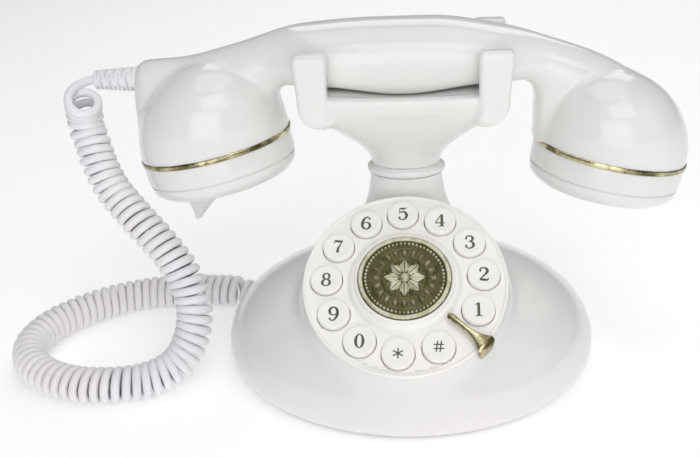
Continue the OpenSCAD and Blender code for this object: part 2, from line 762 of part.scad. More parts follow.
thread_r = cup_r - wall;
cover_x = 41;
cover_y = 11;
module handset_shell() {
    color(white) difference() {
        union() {
            handle_body(0, left_end, right_end);
            at_cup(-1) cup_dome(cup_r, mouth_dome_h);
            at_cup(1) cup_dome(cup_r, ear_dome_h);
        }
        handle_body(wall, left_end + wall, right_end - wall);
        at_cup(-1) cup_dome(cup_r - wall, mouth_dome_h - wall);
        at_cup(1) cup_dome(cup_r - wall, ear_dome_h - wall);
        for (side = [-1, 1]) at_cup(side) translate([0, 0, -40 + eps])
            cylinder(r = cup_r + 11, h = 40, $fn = 24);
        cover_prism(0.15, cover_x + 0.15, cover_y + 0.15, -3);
        boot_seat();
    }
}

module boot_seat() {
    translate([-135, cradle_y, boot_z]) rotate([0, 90, 0]) {
        cylinder(r = 6, h = 135 - boot_seat_x, $fn = 40);
        cylinder(r = 3.3, h = 30, $fn = 40);
    }
}

// Prism under the handle that the cover fills, following the belly.
module cover_prism(gap, hx, hy, drop) {
    n = 26;
    low = [for (i = [0:n]) let(x = lerp(-hx, hx, i / n)) [x, under_z(x) + drop]];
    high = [for (i = [n:-1:0]) let(x = lerp(-hx, hx, i / n)) [x, under_z(x) + wall + gap]];
    translate([0, cradle_y + hy, 0]) rotate([90, 0, 0]) linear_extrude(2 * hy) polygon(concat(low, high));
}

cover_screw_x = 34;
module handset_cover() {
    color(white) difference() {
        cover_prism(-0.2, cover_x, cover_y, 0);
        for (x = [-cover_screw_x, cover_screw_x]) translate([x, cradle_y, belly_z - 1]) {
            cylinder(r = 1.6, h = 12, $fn = 24);
            cylinder(r = 3, h = 5.6, $fn = 24);
        }
    }
}

// Bar in the handle that gives it its heft, with the cover's screws tapped in.
bar_x = cover_screw_x + 5;
bar_z = belly_z + 3.7 + wall;
bar_h = 0.65 * (top_z(bar_x) - wall - bar_z);
module handset_weight() {
    color(steel) difference() {
        translate([-bar_x, cradle_y - 8, bar_z]) cube([2 * bar_x, 16, bar_h]);
        for (x = [-cover_screw_x, cover_screw_x]) translate([x, cradle_y, bar_z - 1])
            cylinder(r = 1.25, h = bar_h * 0.8 + 1, $fn = 24);
    }
}

module handset_screws() {
    head_z = belly_z + 3.1;
    color(steel) for (x = [-cover_screw_x, cover_screw_x]) translate([x, cradle_y, head_z]) {
        cylinder(r = 2.8, h = 1.4, $fn = 24);
        cylinder(r = 1.2, h = bar_z + bar_h * 0.65 - head_z, $fn = 24);
    }
}

module trim_ring() {
    color(brass) rotate_extrude($fn = 96) polygon([
        [thread_r + 0.1, -ring_t], [cup_r + ring_out - 0.4, -ring_t],
        [cup_r + ring_out, -ring_t * 0.7], [cup_r + ring_out, -ring_t * 0.3],
        [cup_r + ring_out - 0.4, 0],
        [thread_r + 0.1, 0]]);
}

module mouth_ring() { at_cup(-1) trim_ring(); }
module ear_ring() { at_cup(1) trim_ring(); }

// Screw-on cap: a skirt, a groove line, a rounded edge and a flat face.
groove_z = -10.9;
module cap_shell() {
    rotate_extrude($fn = 96) polygon([[0, -cap_h], [cup_r - 5.4, -cap_h + 0.4], [cup_r - 2.8, -cap_h + 2],
        [cup_r - 1, -cap_h + 4.2], [cup_r - 0.4, groove_z - 0.5], [cup_r - 1, groove_z],
        [cup_r - 0.1, groove_z + 0.5], [cup_r, groove_z + 3], [cup_r, -ring_t], [thread_r - 0.3, -ring_t],
        [thread_r - 0.3, 3], [thread_r - 2, 3], [thread_r - 2, groove_z], [cup_r - 6.5, -cap_h + wall],
        [0, -cap_h + wall]]);
}

module ear_cap() {
    color(white) at_cup(1) difference() {
        cap_shell();
        for (a = [0:60:300]) rotate([0, 0, a]) translate([8, 0, -cap_h - 1])
            cylinder(r = 1.3, h = 6, $fn = 20);
        translate([0, 0, -cap_h - 1]) cylinder(r = 1.3, h = 6, $fn = 20);
    }
}

horn_x = -9;
horn_r = 10;
module mouth_cap() {
    color(white) at_cup(-1) difference() {
        cap_shell();
        translate([horn_x, 0, -cap_h - 1]) cylinder(r = 3, h = 6, $fn = 24);
    }
}

// Pointed spout under the mouthpiece, leaning to the outside.
module mouthpiece_horn() {
    color(white) at_cup(-1) difference() {
        hull() {
            translate([horn_x, 0, -cap_h - 0.6]) cylinder(r = horn_r, h = 0.6, $fn = 32);
            translate([horn_x - 7, -4, -cap_h - 11]) sphere(r = 2.2, $fn = 20);
        }
        hull() {
            translate([horn_x, 0, -cap_h - 0.6]) cylinder(r = 3, h = 1, $fn = 24);
            translate([horn_x - 6, -2.5, -cap_h - 6.5]) sphere(r = 1, $fn = 12);
        }
    }
}

module ear_capsule() {
    color(dark) at_cup(1) translate([0, 0, -cap_h + wall]) {
        cylinder(r = cup_r - 11.4, h = 4, $fn = 64);
        translate([0, 0, 4 - eps]) cylinder(r = 13, h = 6, $fn = 48);
    }
}

module microphone_capsule() {
    color(steel) at_cup(-1) translate([horn_x, 0, -cap_h + wall]) cylinder(r = 5, h = 4, $fn = 40);
}

// ---- Cord ----

boot_z = top_z(-109) - 5.4;
boot_seat_x = 114.2;
boot_end = boot_seat_x + boot_l;
module strain_relief() {
    ribs = 6;
    pitch = boot_l / ribs;
    r0 = 5.3;
    r1 = 4.5;
    color(soft_white) translate([-boot_seat_x, cradle_y, boot_z]) rotate([0, -90, 0]) union() {
        translate([0, 0, -4.8]) cylinder(r = 3.1, h = 5.4, $fn = 32);
        rotate_extrude($fn = 40) polygon(concat([[0, 0]],
            [for (i = [0:ribs - 1]) let(r = lerp(r0, r1, i / (ribs - 1)), z = i * pitch)
                each [[r, z], [r, z + pitch * 0.62], [r - 1, z + pitch * 0.72],
                    [r - 1, z + pitch * (i == ribs - 1 ? 1 : 0.94)]]],
            [[0, boot_l]]));
    }
}

// Route of the curly cord's middle, from the boot to the plug.
coil_r = coil_d / 2;
lie_z = coil_r + 0.3;
cord_path = [
    [-boot_end, cradle_y, boot_z],
    [-boot_end - 1.5, cradle_y, boot_z],
    [-boot_end - 3.5, cradle_y, boot_z],
    [-boot_end - 6.5, cradle_y - 3.5, boot_z - 2],
    [-boot_end - 7, cradle_y - 7.5, boot_z - 7.5],
    [-boot_end - 6, cradle_y - 7.5, boot_z - 13],
    [-137.5, 13, 105],
    [-135.5, 11, 99.5],
    [-132, 6.5, 90.5],
    [-126, 1.5, 80.5],
    [-115, -5, 70],
    [-106, -9, 61],
    [-99.5, -12, 53],
    [-94.5, -15, 44],
    [-92, -19, 33],
    [-93.5, -24, 22],
    [-99.5, -30, 12.5],
    [-110.5, -36, lie_z],
    [-125, -40.5, lie_z],
    [-140, -40.5, lie_z],
    [-155, -35.5, lie_z],
    [-167, -26, lie_z],
    [-173.5, -11, lie_z],
    [-170, 5, lie_z],
    [-159, 19, lie_z],
    [-145, 29, lie_z],
    [-130, 35, lie_z],
    [-115, 37.5, lie_z],
    [-100, 38, lie_z],
    [jack_x - 28, jack_y + 0.5, lie_z],
    [jack_x - 19, jack_y, lie_z + 0.3],
    [jack_x - 12, jack_y, plate_top + 6.9],
    [plug_end, jack_y, plate_top + 6.9]];

// Smooth curve through the route, t counting its points.
function path_at(t) =
    let(n = len(cord_path) - 1, i = min(n - 1, floor(t)), u = t - i,
        p0 = cord_path[max(0, i - 1)], p1 = cord_path[i],
        p2 = cord_path[i + 1], p3 = cord_path[min(n, i + 2)])
    0.5 * ((2 * p1) + (p2 - p0) * u + (2 * p0 - 5 * p1 + 4 * p2 - p3) * u * u
        + (3 * p1 - p0 - 3 * p2 + p3) * u * u * u);

// The plain wire swells into the coil near both ends.
function tube_r(k, n) = lerp(wire_d / 2, coil_r, smooth((min(k, n - k) - 3) / 3.5));

module curly_cord() {
    n = 76;
    m = 10;
    span = len(cord_path) - 1;
    rings = [for (k = [0:n]) let(
            t = span * k / n,
            c = path_at(t),
            a = path_at(max(0, t - 0.05)),
            b = path_at(min(span, t + 0.05)),
            d = (b - a) / norm(b - a),
            s = cross(d, lerp([0, 0, 1], [0, 1, 0], smooth((abs(d[2]) - 0.4) / 0.4))),
            u = s / norm(s),
            v = cross(u, d),
            r = tube_r(k, n))
        for (j = [0:m - 1]) let(q = 360 * j / m) c + r * (cos(q) * u + sin(q) * v)];
    faces = concat([[for (j = [0:m - 1]) j]], [[for (j = [m - 1:-1:0]) n * m + j]],
        [for (i = [0:n - 1], j = [0:m - 1])
            [i * m + j, (i + 1) * m + j, (i + 1) * m + (j + 1) % m, i * m + (j + 1) % m]]);
    color(soft_white) polyhedron(rings, faces, convexity = 10);
}

base_housing();
base_plate();
rubber_feet();
base_screws();
ballast_weight();
dial_plate();
medallion();
finger_stop();
for (i = [0:11]) key_cap(i);
keypad_membrane();
keypad_board();
keypad_screws();
neck_collar();
cradle();
hook_plunger();
hook_spring();
hook_switch();
hook_lever();
main_board();
board_screws();
ringer_disc();
line_jack();
handset_jack();
modular_plug();
ringer_switch();
ringer_slider();
handset_shell();
handset_cover();
handset_weight();
handset_screws();
mouth_ring();
ear_ring();
mouth_cap();
ear_cap();
mouthpiece_horn();
ear_capsule();
microphone_capsule();
strain_relief();
curly_cord();
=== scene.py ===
# French-style cradle telephone: glossy ivory plastic with brass trim, a dial of
# push keys, a pronged cradle and a cupped handset on a curly cord.
# Sizes are in millimetres until a mesh is made, and +Z is up, -Y the front.
import math

import bmesh
import bpy
import numpy as np
from mathutils import Matrix, Vector


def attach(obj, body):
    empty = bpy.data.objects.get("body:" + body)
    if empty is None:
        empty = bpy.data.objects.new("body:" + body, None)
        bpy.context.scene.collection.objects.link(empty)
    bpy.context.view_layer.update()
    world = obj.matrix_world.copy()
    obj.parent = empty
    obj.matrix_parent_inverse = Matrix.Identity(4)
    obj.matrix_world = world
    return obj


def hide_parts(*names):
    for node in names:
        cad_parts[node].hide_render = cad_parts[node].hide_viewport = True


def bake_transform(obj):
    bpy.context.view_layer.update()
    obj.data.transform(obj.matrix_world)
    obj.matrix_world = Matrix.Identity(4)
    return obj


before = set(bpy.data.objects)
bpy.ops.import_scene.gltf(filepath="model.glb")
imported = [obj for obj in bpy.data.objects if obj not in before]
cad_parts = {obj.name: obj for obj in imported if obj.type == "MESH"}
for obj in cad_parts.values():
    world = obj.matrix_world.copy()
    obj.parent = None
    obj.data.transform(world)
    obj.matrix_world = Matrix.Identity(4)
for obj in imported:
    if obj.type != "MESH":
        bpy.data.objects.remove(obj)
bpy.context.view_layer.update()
MM = 0.001


# ---- Camera ----
# A short lens held a little left of the middle and tipped by a few degrees.
lens_place = Vector((12.4, -349.1, 242.2)) * MM
lens_turn = math.radians(5.97)
lens_height = math.radians(27.15)
lens_roll = math.radians(-3.18)
lens_data = bpy.data.cameras.new("lens")
lens_data.sensor_width = 36.0
lens_data.lens = 47.03
lens_data.clip_start = 0.01
camera = bpy.data.objects.new("camera", lens_data)
bpy.context.scene.collection.objects.link(camera)
bpy.context.scene.camera = camera
behind = Vector((
    math.sin(lens_turn) * math.cos(lens_height),
    -math.cos(lens_turn) * math.cos(lens_height),
    math.sin(lens_height)))
camera.matrix_world = (
    Matrix.Translation(lens_place)
    @ behind.to_track_quat("Z", "Y").to_matrix().to_4x4()
    @ Matrix.Rotation(lens_roll, 4, "Z"))


# ---- Floor, backdrop and light ----
# A white table top that goes on into a white backdrop, and five broad soft
# lights: from above the front, the right, overhead, behind and straight ahead.
class Signal:
    """One output of a shader node, which adds, multiplies and mixes as a number."""

    def __init__(self, maker, socket):
        self.maker = maker
        self.socket = socket

    def math(self, operation, *others):
        return self.maker.node("Math", {"operation": operation}, {
            i: value for i, value in enumerate((self, *others))})

    def __add__(self, other):
        return self.math("ADD", other)

    __radd__ = __add__

    def __mul__(self, other):
        return self.math("MULTIPLY", other)

    __rmul__ = __mul__

    def __sub__(self, other):
        return self.math("SUBTRACT", other)

    def __rsub__(self, other):
        return (self * -1.0) + other

    def ramp(self, low, high, to_low=0.0, to_high=1.0):
        """The value stretched smoothly from low..high to to_low..to_high."""
        return self.maker.node("MapRange", {"interpolation_type": "SMOOTHSTEP"}, {
            0: self, 1: low, 2: high, 3: to_low, 4: to_high})


class Finish:
    """A material that is being wired from its Principled shader outwards."""

    def __init__(self, name, **numbers):
        self.material = bpy.data.materials.new(name)
        self.material.use_nodes = True
        self.tree = self.material.node_tree
        self.shader = self.tree.nodes["Principled BSDF"]
        for label, value in numbers.items():
            self.set(label.replace("_", " "), value)

    def plug(self, node, key, value):
        if isinstance(value, Signal):
            self.tree.links.new(value.socket, node.inputs[key])
        else:
            node.inputs[key].default_value = value

    def node(self, kind, settings, inputs, output=0):
        made = self.tree.nodes.new("ShaderNode" + kind)
        for label, value in settings.items():
            setattr(made, label, value)
        for key, value in inputs.items():
            self.plug(made, key, value)
        return Signal(self, made.outputs[output])

    def set(self, label, value):
        self.plug(self.shader, label, value)

    def place(self):
        return self.node("TexCoord", {}, {}, "Object")

    def noise(self, scale, detail=2.0, rough=0.5):
        """Noise of about scale patches to the metre."""
        return self.node("TexNoise", {}, {
            "Vector": self.place(), "Scale": scale, "Detail": detail,
            "Roughness": rough}, "Fac")

    def mix(self, share, low, high):
        return self.node("Mix", {"data_type": "RGBA"}, {0: share, 6: low, 7: high}, 2)

    def bump(self, height, depth, under=None):
        inputs = {"Height": height, "Distance": depth}
        if under:
            inputs["Normal"] = under
        return self.node("Bump", {}, inputs)


def shade(red, green, blue):
    """A colour given as the eye sees it, 0 to 255, as the shader's linear one."""
    linear = [(c / 255 / 12.92) if c <= 10 else ((c / 255 + 0.055) / 1.055) ** 2.4
              for c in (red, green, blue)]
    return (*linear, 1.0)


def sheet_of_floor():
    finish = Finish("table_top", Roughness=0.8, Specular_IOR_Level=0.1)
    finish.set("Base Color", finish.mix(
        finish.noise(6.0), shade(250, 250, 250), shade(255, 255, 255)))
    finish.set("Emission Color", (1.0, 1.0, 1.0, 1.0))
    finish.set("Emission Strength", 0.24)
    return finish.material


bpy.ops.mesh.primitive_circle_add(vertices=96, radius=6.0, fill_type="NGON")
table_top = bpy.context.object
table_top.name = "table_top"
table_top.data.materials.append(sheet_of_floor())

world = bpy.data.worlds.new("backdrop")
bpy.context.scene.world = world
world.use_nodes = True
tree = world.node_tree
for old in list(tree.nodes):
    tree.nodes.remove(old)
rays = tree.nodes.new("ShaderNodeLightPath")
seen = tree.nodes.new("ShaderNodeBackground")
seen.inputs["Color"].default_value = (1.0, 1.0, 1.0, 1.0)
room = tree.nodes.new("ShaderNodeBackground")
room.inputs["Color"].default_value = (0.96, 0.98, 1.0, 1.0)
room.inputs["Strength"].default_value = 0.23
pick = tree.nodes.new("ShaderNodeMixShader")
out = tree.nodes.new("ShaderNodeOutputWorld")
tree.links.new(rays.outputs["Is Camera Ray"], pick.inputs[0])
tree.links.new(room.outputs[0], pick.inputs[1])
tree.links.new(seen.outputs[0], pick.inputs[2])
tree.links.new(pick.outputs[0], out.inputs["Surface"])
bpy.context.scene.view_settings.view_transform = "Standard"


def soft_light(name, place, aim, width, depth, power):
    data = bpy.data.lights.new(name, "AREA")
    data.shape = "RECTANGLE"
    data.size = width
    data.size_y = depth
    data.energy = power
    lamp = bpy.data.objects.new(name, data)
    lamp.location = place
    lamp.rotation_euler = (Vector(place) - Vector(aim)).to_track_quat("Z", "Y").to_euler()
    bpy.context.scene.collection.objects.link(lamp)


# Each light's place, what it points at, its size in metres and its power in watts.
soft_light("key_light", (0.25, -0.75, 1.05), (0, 0, 0.06), 0.9, 0.6, 3.2)
soft_light("right_fill", (1.1, -0.5, 0.7), (0, 0, 0.08), 1.0, 1.0, 1.3)
soft_light("top_light", (0.0, 0.1, 1.25), (0, 0, 0.08), 1.0, 1.0, 3.7)
soft_light("back_light", (0.1, 1.0, 0.9), (0, 0, 0.08), 1.1, 0.6, 3.4)
soft_light("front_fill", (0.0, -1.2, 0.4), (0, 0, 0.08), 1.1, 0.8, 5.0)


# ---- Base shell ----
# One glossy moulding: an oval dome that swells into the dial's pod at the front
# and rises into an oval neck behind it. It is open below and under the dial.
base_half_w = 81.0
base_half_d = 67.0
base_oval = base_half_d / base_half_w
foot_z = 1.5
belly_z = 10.0
crown_z = 48.0
foot_tuck = 5.5
dome_round = 2.15
wall_thick = 2.4
dial_middle = np.array([0.0, -28.7, 52.3])
dial_tilt = math.radians(31)
pod_r = 41.2
cradle_y = 22.0
neck_half_w = 15.8
neck_oval = 0.7
neck_top_z = 80.0
neck_flare = 12.0
flare_tall = 32.0
pod_blend = 10.0
dial_opening_r = 39.6
ray_heart = np.array([0.0, 8.0, 12.0])
neck_rays_from = 64.0
neck_rays_over = 7.0
line_jack_mouth = ((11.0, 50.0, 5.0), (25.0, 75.0, 18.0))
cord_jack_mouth = ((-90.0, 30.5, 5.0), (-55.0, 43.5, 17.0))


def make_mesh(name, points, faces, material):
    """A piece from points in millimetres."""
    mesh = bpy.data.meshes.new(name)
    mesh.from_pydata((np.asarray(points) * MM).tolist(), [], faces)
    mesh.materials.append(material)
    mesh.polygons.foreach_set("use_smooth", [True] * len(mesh.polygons))
    mesh.update()
    piece = bpy.data.objects.new(name, mesh)
    bpy.context.scene.collection.objects.link(piece)
    return piece


def grid_faces(rows, columns):
    """Quads between neighbouring rows of points, right round each row."""
    return [(r * columns + c, r * columns + (c + 1) % columns,
             (r + 1) * columns + (c + 1) % columns, (r + 1) * columns + c)
            for r in range(rows - 1) for c in range(columns)]


def closed_tube(rows, columns, outward=True):
    """The faces of a grid that runs round a tube, with a face over each end."""
    faces = grid_faces(rows, columns)
    faces.append(tuple(range(columns))[::-1])
    faces.append(tuple((rows - 1) * columns + k for k in range(columns)))
    return faces if outward else [face[::-1] for face in faces]


def whole_turn(columns):
    return np.linspace(0, 2 * np.pi, columns, endpoint=False)


def soft_union(a, b, reach):
    """The smaller of two distances, blended where they are within reach."""
    share = np.clip(0.5 + 0.5 * (b - a) / reach, 0, 1)
    return b + (a - b) * share - reach * share * (1 - share)


def soft_cut(a, b, reach):
    return -soft_union(-a, -b, reach)


def slope_of(field, points, probe=0.05):
    return np.stack([(field(points + probe * axis) - field(points - probe * axis)) / (2 * probe)
                     for axis in np.eye(3)], axis=-1)


def as_distance(field, points):
    """The field over its slope, which is nearly the distance to its surface."""
    return field(points) / np.maximum(np.linalg.norm(slope_of(field, points), axis=-1), 0.2)


def on_dial(points):
    """Across, up and out from the dial's middle."""
    x, y, z = np.moveaxis(np.asarray(points) - dial_middle, -1, 0)
    return np.stack([x, y * math.cos(dial_tilt) + z * math.sin(dial_tilt),
                     z * math.cos(dial_tilt) - y * math.sin(dial_tilt)], axis=-1)


def from_dial(points):
    x, y, z = np.moveaxis(np.asarray(points, float), -1, 0)
    return dial_middle + np.stack([
        x, y * math.cos(dial_tilt) - z * math.sin(dial_tilt),
        y * math.sin(dial_tilt) + z * math.cos(dial_tilt)], axis=-1)


def superellipse(across, tall, n):
    """Nearly the distance from the outline where (a/half_a)^n + (t/half_t)^n = 1."""
    (a, half_a), (t, half_t) = across, tall
    ratio_a = np.abs(a) / half_a
    ratio_t = np.abs(t) / half_t
    size = np.maximum(ratio_a ** n + ratio_t ** n, 1e-6) ** (1 / n)
    steep = np.hypot(ratio_a ** (n - 1) / half_a, ratio_t ** (n - 1) / half_t) * size ** (1 - n)
    return (size - 1) / np.maximum(steep, 1e-3)


def base_field(points):
    x, y, z = np.moveaxis(points, -1, 0)
    across = np.hypot(x, y / base_oval)
    tall = np.maximum(z - belly_z, 0)
    low = np.clip((belly_z - z) / (belly_z - foot_z), 0, 1)
    skirt = across - base_half_w + foot_tuck * (1 - np.sqrt(1 - low ** 2))
    dome = np.where(z > belly_z, superellipse(
        (across, base_half_w), (tall, crown_z - belly_z), dome_round), skirt)
    flat = on_dial(points)
    pod = np.maximum(np.hypot(flat[..., 0], flat[..., 1]) - pod_r, flat[..., 2] + 1.0)
    flare = np.clip((neck_top_z - z) / flare_tall, 0, 1) ** 2
    neck = 0.85 * (np.hypot(x, (y - cradle_y) / neck_oval) - neck_half_w - neck_flare * flare)
    neck = np.maximum(neck, z - neck_top_z)
    nearby = np.clip((-2.0 - flat[..., 2]) / 10.0, 0, 1)
    return soft_union(soft_union(dome, pod, pod_blend), neck, 1.5 + 5.5 * nearby)


def base_targets(columns):
    """Rings from the foot over the dome and up the neck, which give the mesh its rows."""
    turn = whole_turn(columns)
    rings = []
    for z in np.linspace(foot_z, belly_z, 8)[:-1]:
        low = (belly_z - z) / (belly_z - foot_z)
        wide = base_half_w - foot_tuck * (1 - math.sqrt(1 - low * low))
        rings.append((wide, wide * base_oval, 0.0, z))
    for a in np.radians(np.linspace(0, 66, 64)):
        wide = base_half_w * math.cos(a) ** (2 / dome_round)
        tall = belly_z + (crown_z - belly_z) * math.sin(a) ** (2 / dome_round)
        rings.append((wide, wide * base_oval, 0.0, tall))
    last = rings[-1]
    for t in np.linspace(0, 1, 34)[1:]:
        z = last[3] + (neck_top_z - last[3]) * t
        wide = neck_half_w + neck_flare * ((neck_top_z - z) / flare_tall) ** 2
        drawn = min(1.0, t / 0.35)
        drawn = drawn * drawn * (3 - 2 * drawn)
        rings.append((last[0] + (wide - last[0]) * drawn,
                      last[1] + (wide * neck_oval - last[1]) * drawn, cradle_y * drawn, z))
    return np.array([[[w * math.cos(q), c + d * math.sin(q), z] for q in turn]
                     for w, d, c, z in rings])


def settle(piece):
    """Makes a piece's modifiers part of its mesh."""
    bpy.context.view_layer.update()
    graph = bpy.context.evaluated_depsgraph_get()
    mesh = bpy.data.meshes.new_from_object(piece.evaluated_get(graph))
    piece.modifiers.clear()
    piece.data = mesh
    return piece


def thicken(piece, thick):
    wall = piece.modifiers.new("wall", "SOLIDIFY")
    wall.thickness = thick * MM
    wall.offset = -1.0
    return settle(piece)


def carve(piece, cutter, sharp_from=35):
    """Cuts the cutter's shape out of the piece and throws the cutter away."""
    cut = piece.modifiers.new("cut", "BOOLEAN")
    cut.operation = "DIFFERENCE"
    cut.solver = "EXACT"
    cut.object = cutter
    settle(piece)
    bpy.data.objects.remove(cutter)
    piece.data.set_sharp_from_angle(angle=math.radians(sharp_from))
    return piece


def rounded_block(low, high, radius):
    """A cutter: a block from its low corner to its high one, with rounded edges."""
    block = bmesh.new()
    bmesh.ops.create_cube(block, size=1.0)
    for corner in block.verts:
        corner.co = MM * Vector(
            low[k] + (corner.co[k] + 0.5) * (high[k] - low[k]) for k in range(3))
    bmesh.ops.bevel(block, geom=list(block.edges), offset=radius * MM, segments=3,
                    profile=0.5, affect="EDGES")
    mesh = bpy.data.meshes.new("cutter")
    block.to_mesh(mesh)
    block.free()
    cutter = bpy.data.objects.new("cutter", mesh)
    bpy.context.scene.collection.objects.link(cutter)
    return cutter


def gloss_plastic(name, light, dark, warm, rough=0.16):
    """Polished ABS: slow clouds in the tint, faint smears in the gloss, moulded orange peel."""
    finish = Finish(name, Specular_IOR_Level=0.5, Coat_Weight=0.25, Coat_Roughness=0.08,
                    Subsurface_Weight=0.06, Subsurface_Scale=0.003)
    finish.set("Subsurface Radius", (1.0, 0.9, 0.8))
    clouds = finish.noise(18.0, 3.0)
    tint = finish.mix(clouds.ramp(0.3, 0.7), dark, light)
    blush = finish.noise(7.0, 1.0).ramp(0.5, 0.7)
    finish.set("Base Color", finish.mix(blush * 0.5, tint, warm))
    smear = finish.noise(90.0, 4.0, 0.65)
    finish.set("Roughness", smear.ramp(0.3, 0.75, rough - 0.015, rough + 0.03))
    peel = finish.bump(finish.noise(700.0, 2.0), 0.00003)
    finish.set("Normal", finish.bump(finish.noise(110.0, 1.0), 0.00006, under=peel))
    return finish.material


def base_shell():
    columns = 320
    targets = base_targets(columns)
    tall = targets[:, :1, 2:]
    share = np.clip((tall - neck_rays_from) / neck_rays_over, 0, 1)
    inside_neck = np.concatenate([0 * tall, 0 * tall + cradle_y, tall - neck_rays_over], axis=-1)
    heart = (1 - share) * ray_heart + share * inside_neck
    aim = targets - heart
    aim /= np.linalg.norm(aim, axis=-1)[..., None]
    near, far = np.full(aim.shape[:2], 5.0), np.full(aim.shape[:2], 130.0)
    for _ in range(34):
        middle = (near + far) / 2
        outside = base_field(heart + aim * middle[..., None]) > 0
        far = np.where(outside, middle, far)
        near = np.where(outside, near, middle)
    points = heart + aim * near[..., None]
    rows = len(points)
    points = points.reshape(-1, 3)
    flat = on_dial(points)
    under_dial = (np.hypot(flat[:, 0], flat[:, 1]) < dial_opening_r) & (flat[:, 2] > -1.8)
    faces = [f for f in grid_faces(rows, columns) if not under_dial[list(f)].all()]
    used = np.unique(np.array(faces))
    renumber = np.full(len(points), -1)
    renumber[used] = np.arange(len(used))
    shell = make_mesh("base_shell", points[used], renumber[np.array(faces)].tolist(), ivory)
    thicken(shell, wall_thick)
    carve(shell, rounded_block(*line_jack_mouth, 1.0))
    carve(shell, rounded_block(*cord_jack_mouth, 1.0))
    return shell


ivory = gloss_plastic(
    "ivory_plastic", shade(236, 235, 232), shade(231, 231, 228), shade(237, 232, 231))
base = base_shell()
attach(base, "base")
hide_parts("base_housing")


# ---- Dial plate ----
# A cream satin moulding that closes the pod and carries the keys: a flat ring
# with a rolled edge, a raised hub with a bead, and twelve chamfered key holes.
dial_r = 41.7
dial_thick = 3.0
key_circle_r = 32.0
key_hole_r = 6.75
key_names = ["1", "2", "3", "4", "5", "6", "7", "8", "9", "0", "star", "hash"]
key_turns = np.radians(-24.0 + 29.0 * np.arange(12))
key_places = key_circle_r * np.stack([np.cos(key_turns), np.sin(key_turns), 0 * key_turns], axis=1)


def rounded(corners, steps=5):
    """The line through the corners, each of them (x, y, how far its bend reaches)."""
    line = []
    for i, (x, y, reach) in enumerate(corners):
        here = np.array([x, y])
        if reach == 0:
            line.append(here)
            continue
        back = np.array(corners[i - 1][:2]) - here
        on = np.array(corners[(i + 1) % len(corners)][:2]) - here
        back_long, on_long = np.linalg.norm(back), np.linalg.norm(on)
        reach = min(reach, 0.48 * back_long, 0.48 * on_long)
        start, end = here + back / back_long * reach, here + on / on_long * reach
        for t in np.linspace(0, 1, steps + 1):
            line.append((1 - t) ** 2 * start + 2 * t * (1 - t) * here + t * t * end)
    return np.array(line)


def swing(profile, columns, oval=1.0, ring=False):
    """Points and faces of the profile of (radius, height) turned round the height axis."""
    turn = whole_turn(columns)
    points, rows, faces = [], [], []
    for radius, height in profile:
        if radius < 1e-6:
            rows.append([len(points)] * columns)
            points.append((0.0, 0.0, height))
            continue
        rows.append(list(range(len(points), len(points) + columns)))
        points.extend((radius * math.cos(q), oval * radius * math.sin(q), height) for q in turn)
    for low, high in zip(rows, rows[1:] + (rows[:1] if ring else [])):
        for c in range(columns):
            corners = [low[c], low[(c + 1) % columns], high[(c + 1) % columns], high[c]]
            face = list(dict.fromkeys(corners))
            if len(face) > 2:
                faces.append(face)
    return np.array(points), faces


def turned(name, profile, columns, material, place, oval=1.0, ring=False, sharp_from=40):
    points, faces = swing(profile, columns, oval, ring)
    piece = make_mesh(name, place(points), faces, material)
    piece.data.set_sharp_from_angle(angle=math.radians(sharp_from))
    return piece


def repeated_cutter(shape, spots, place):
    """One cutter with the shape at every spot."""
    points, faces = shape
    every_face = [[k + i * len(points) for k in face] for i in range(len(spots)) for face in faces]
    every_point = np.vstack([place(points + spot) for spot in spots])
    return make_mesh("cutter", every_point, every_face, ivory)


def key_hole_cutter():
    profile = [(0, -dial_thick - 2), (key_hole_r, -dial_thick - 2), (key_hole_r, -0.35),
               (key_hole_r + 0.35, 0.0), (key_hole_r + 0.5, 1.0), (0, 1.0)]
    return repeated_cutter(swing(profile, 72), key_places, from_dial)


def dial_plate():
    corners = [(0, -dial_thick, 0), (dial_r, -dial_thick, 0.4), (dial_r, 0.5, 0.5),
               (40.8, 0.55, 0.3), (40.3, 0, 0.4), (23.2, 0, 0.7), (22.4, 1.3, 0.5),
               (21.7, 2.0, 0.4), (20.6, 2.2, 0.3), (20.3, 2.7, 0.2), (20.3, 3.8, 0.35),
               (19.7, 4.2, 0.3),
               (19.1, 3.9, 0.25), (19.05, 2.4, 0), (0, 2.4, 0)]
    plate = turned("dial_face", rounded(corners), 256, cream, from_dial)
    return carve(plate, key_hole_cutter())


cream = gloss_plastic(
    "cream_plastic", shade(252, 250, 246), shade(248, 246, 241), shade(253, 248, 242), 0.3)
dial = dial_plate()
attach(dial, "base")
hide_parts("dial_plate")


# ---- Medallion ----
# A cast bronze disc let into the hub: a plain rim, a border of beads, two fine
# rings with leaves between them and a rosette of eight petals round a button.
medal_r = 18.9
medal_low = 2.4
medal_field = 3.75
medal_rim = 4.6


def leaf(across, along, long, wide):
    """A pointed leaf's height, 0 to 1, with a vein down its middle."""
    share = np.clip(along / long, 0, 1)
    half = wide * np.sin(np.pi * share) ** 0.75 + 1e-3
    body = np.sqrt(np.clip(1 - (across / half) ** 2, 0, 1))
    return body * (1 - 0.45 * np.exp(-(across / 0.2) ** 2)) * (share > 0) * (share < 1)


def fold(turn, count, shift=0.0):
    """The angle from the nearest of count even spokes."""
    step = 2 * np.pi / count
    return (turn + shift * step + step / 2) % step - step / 2


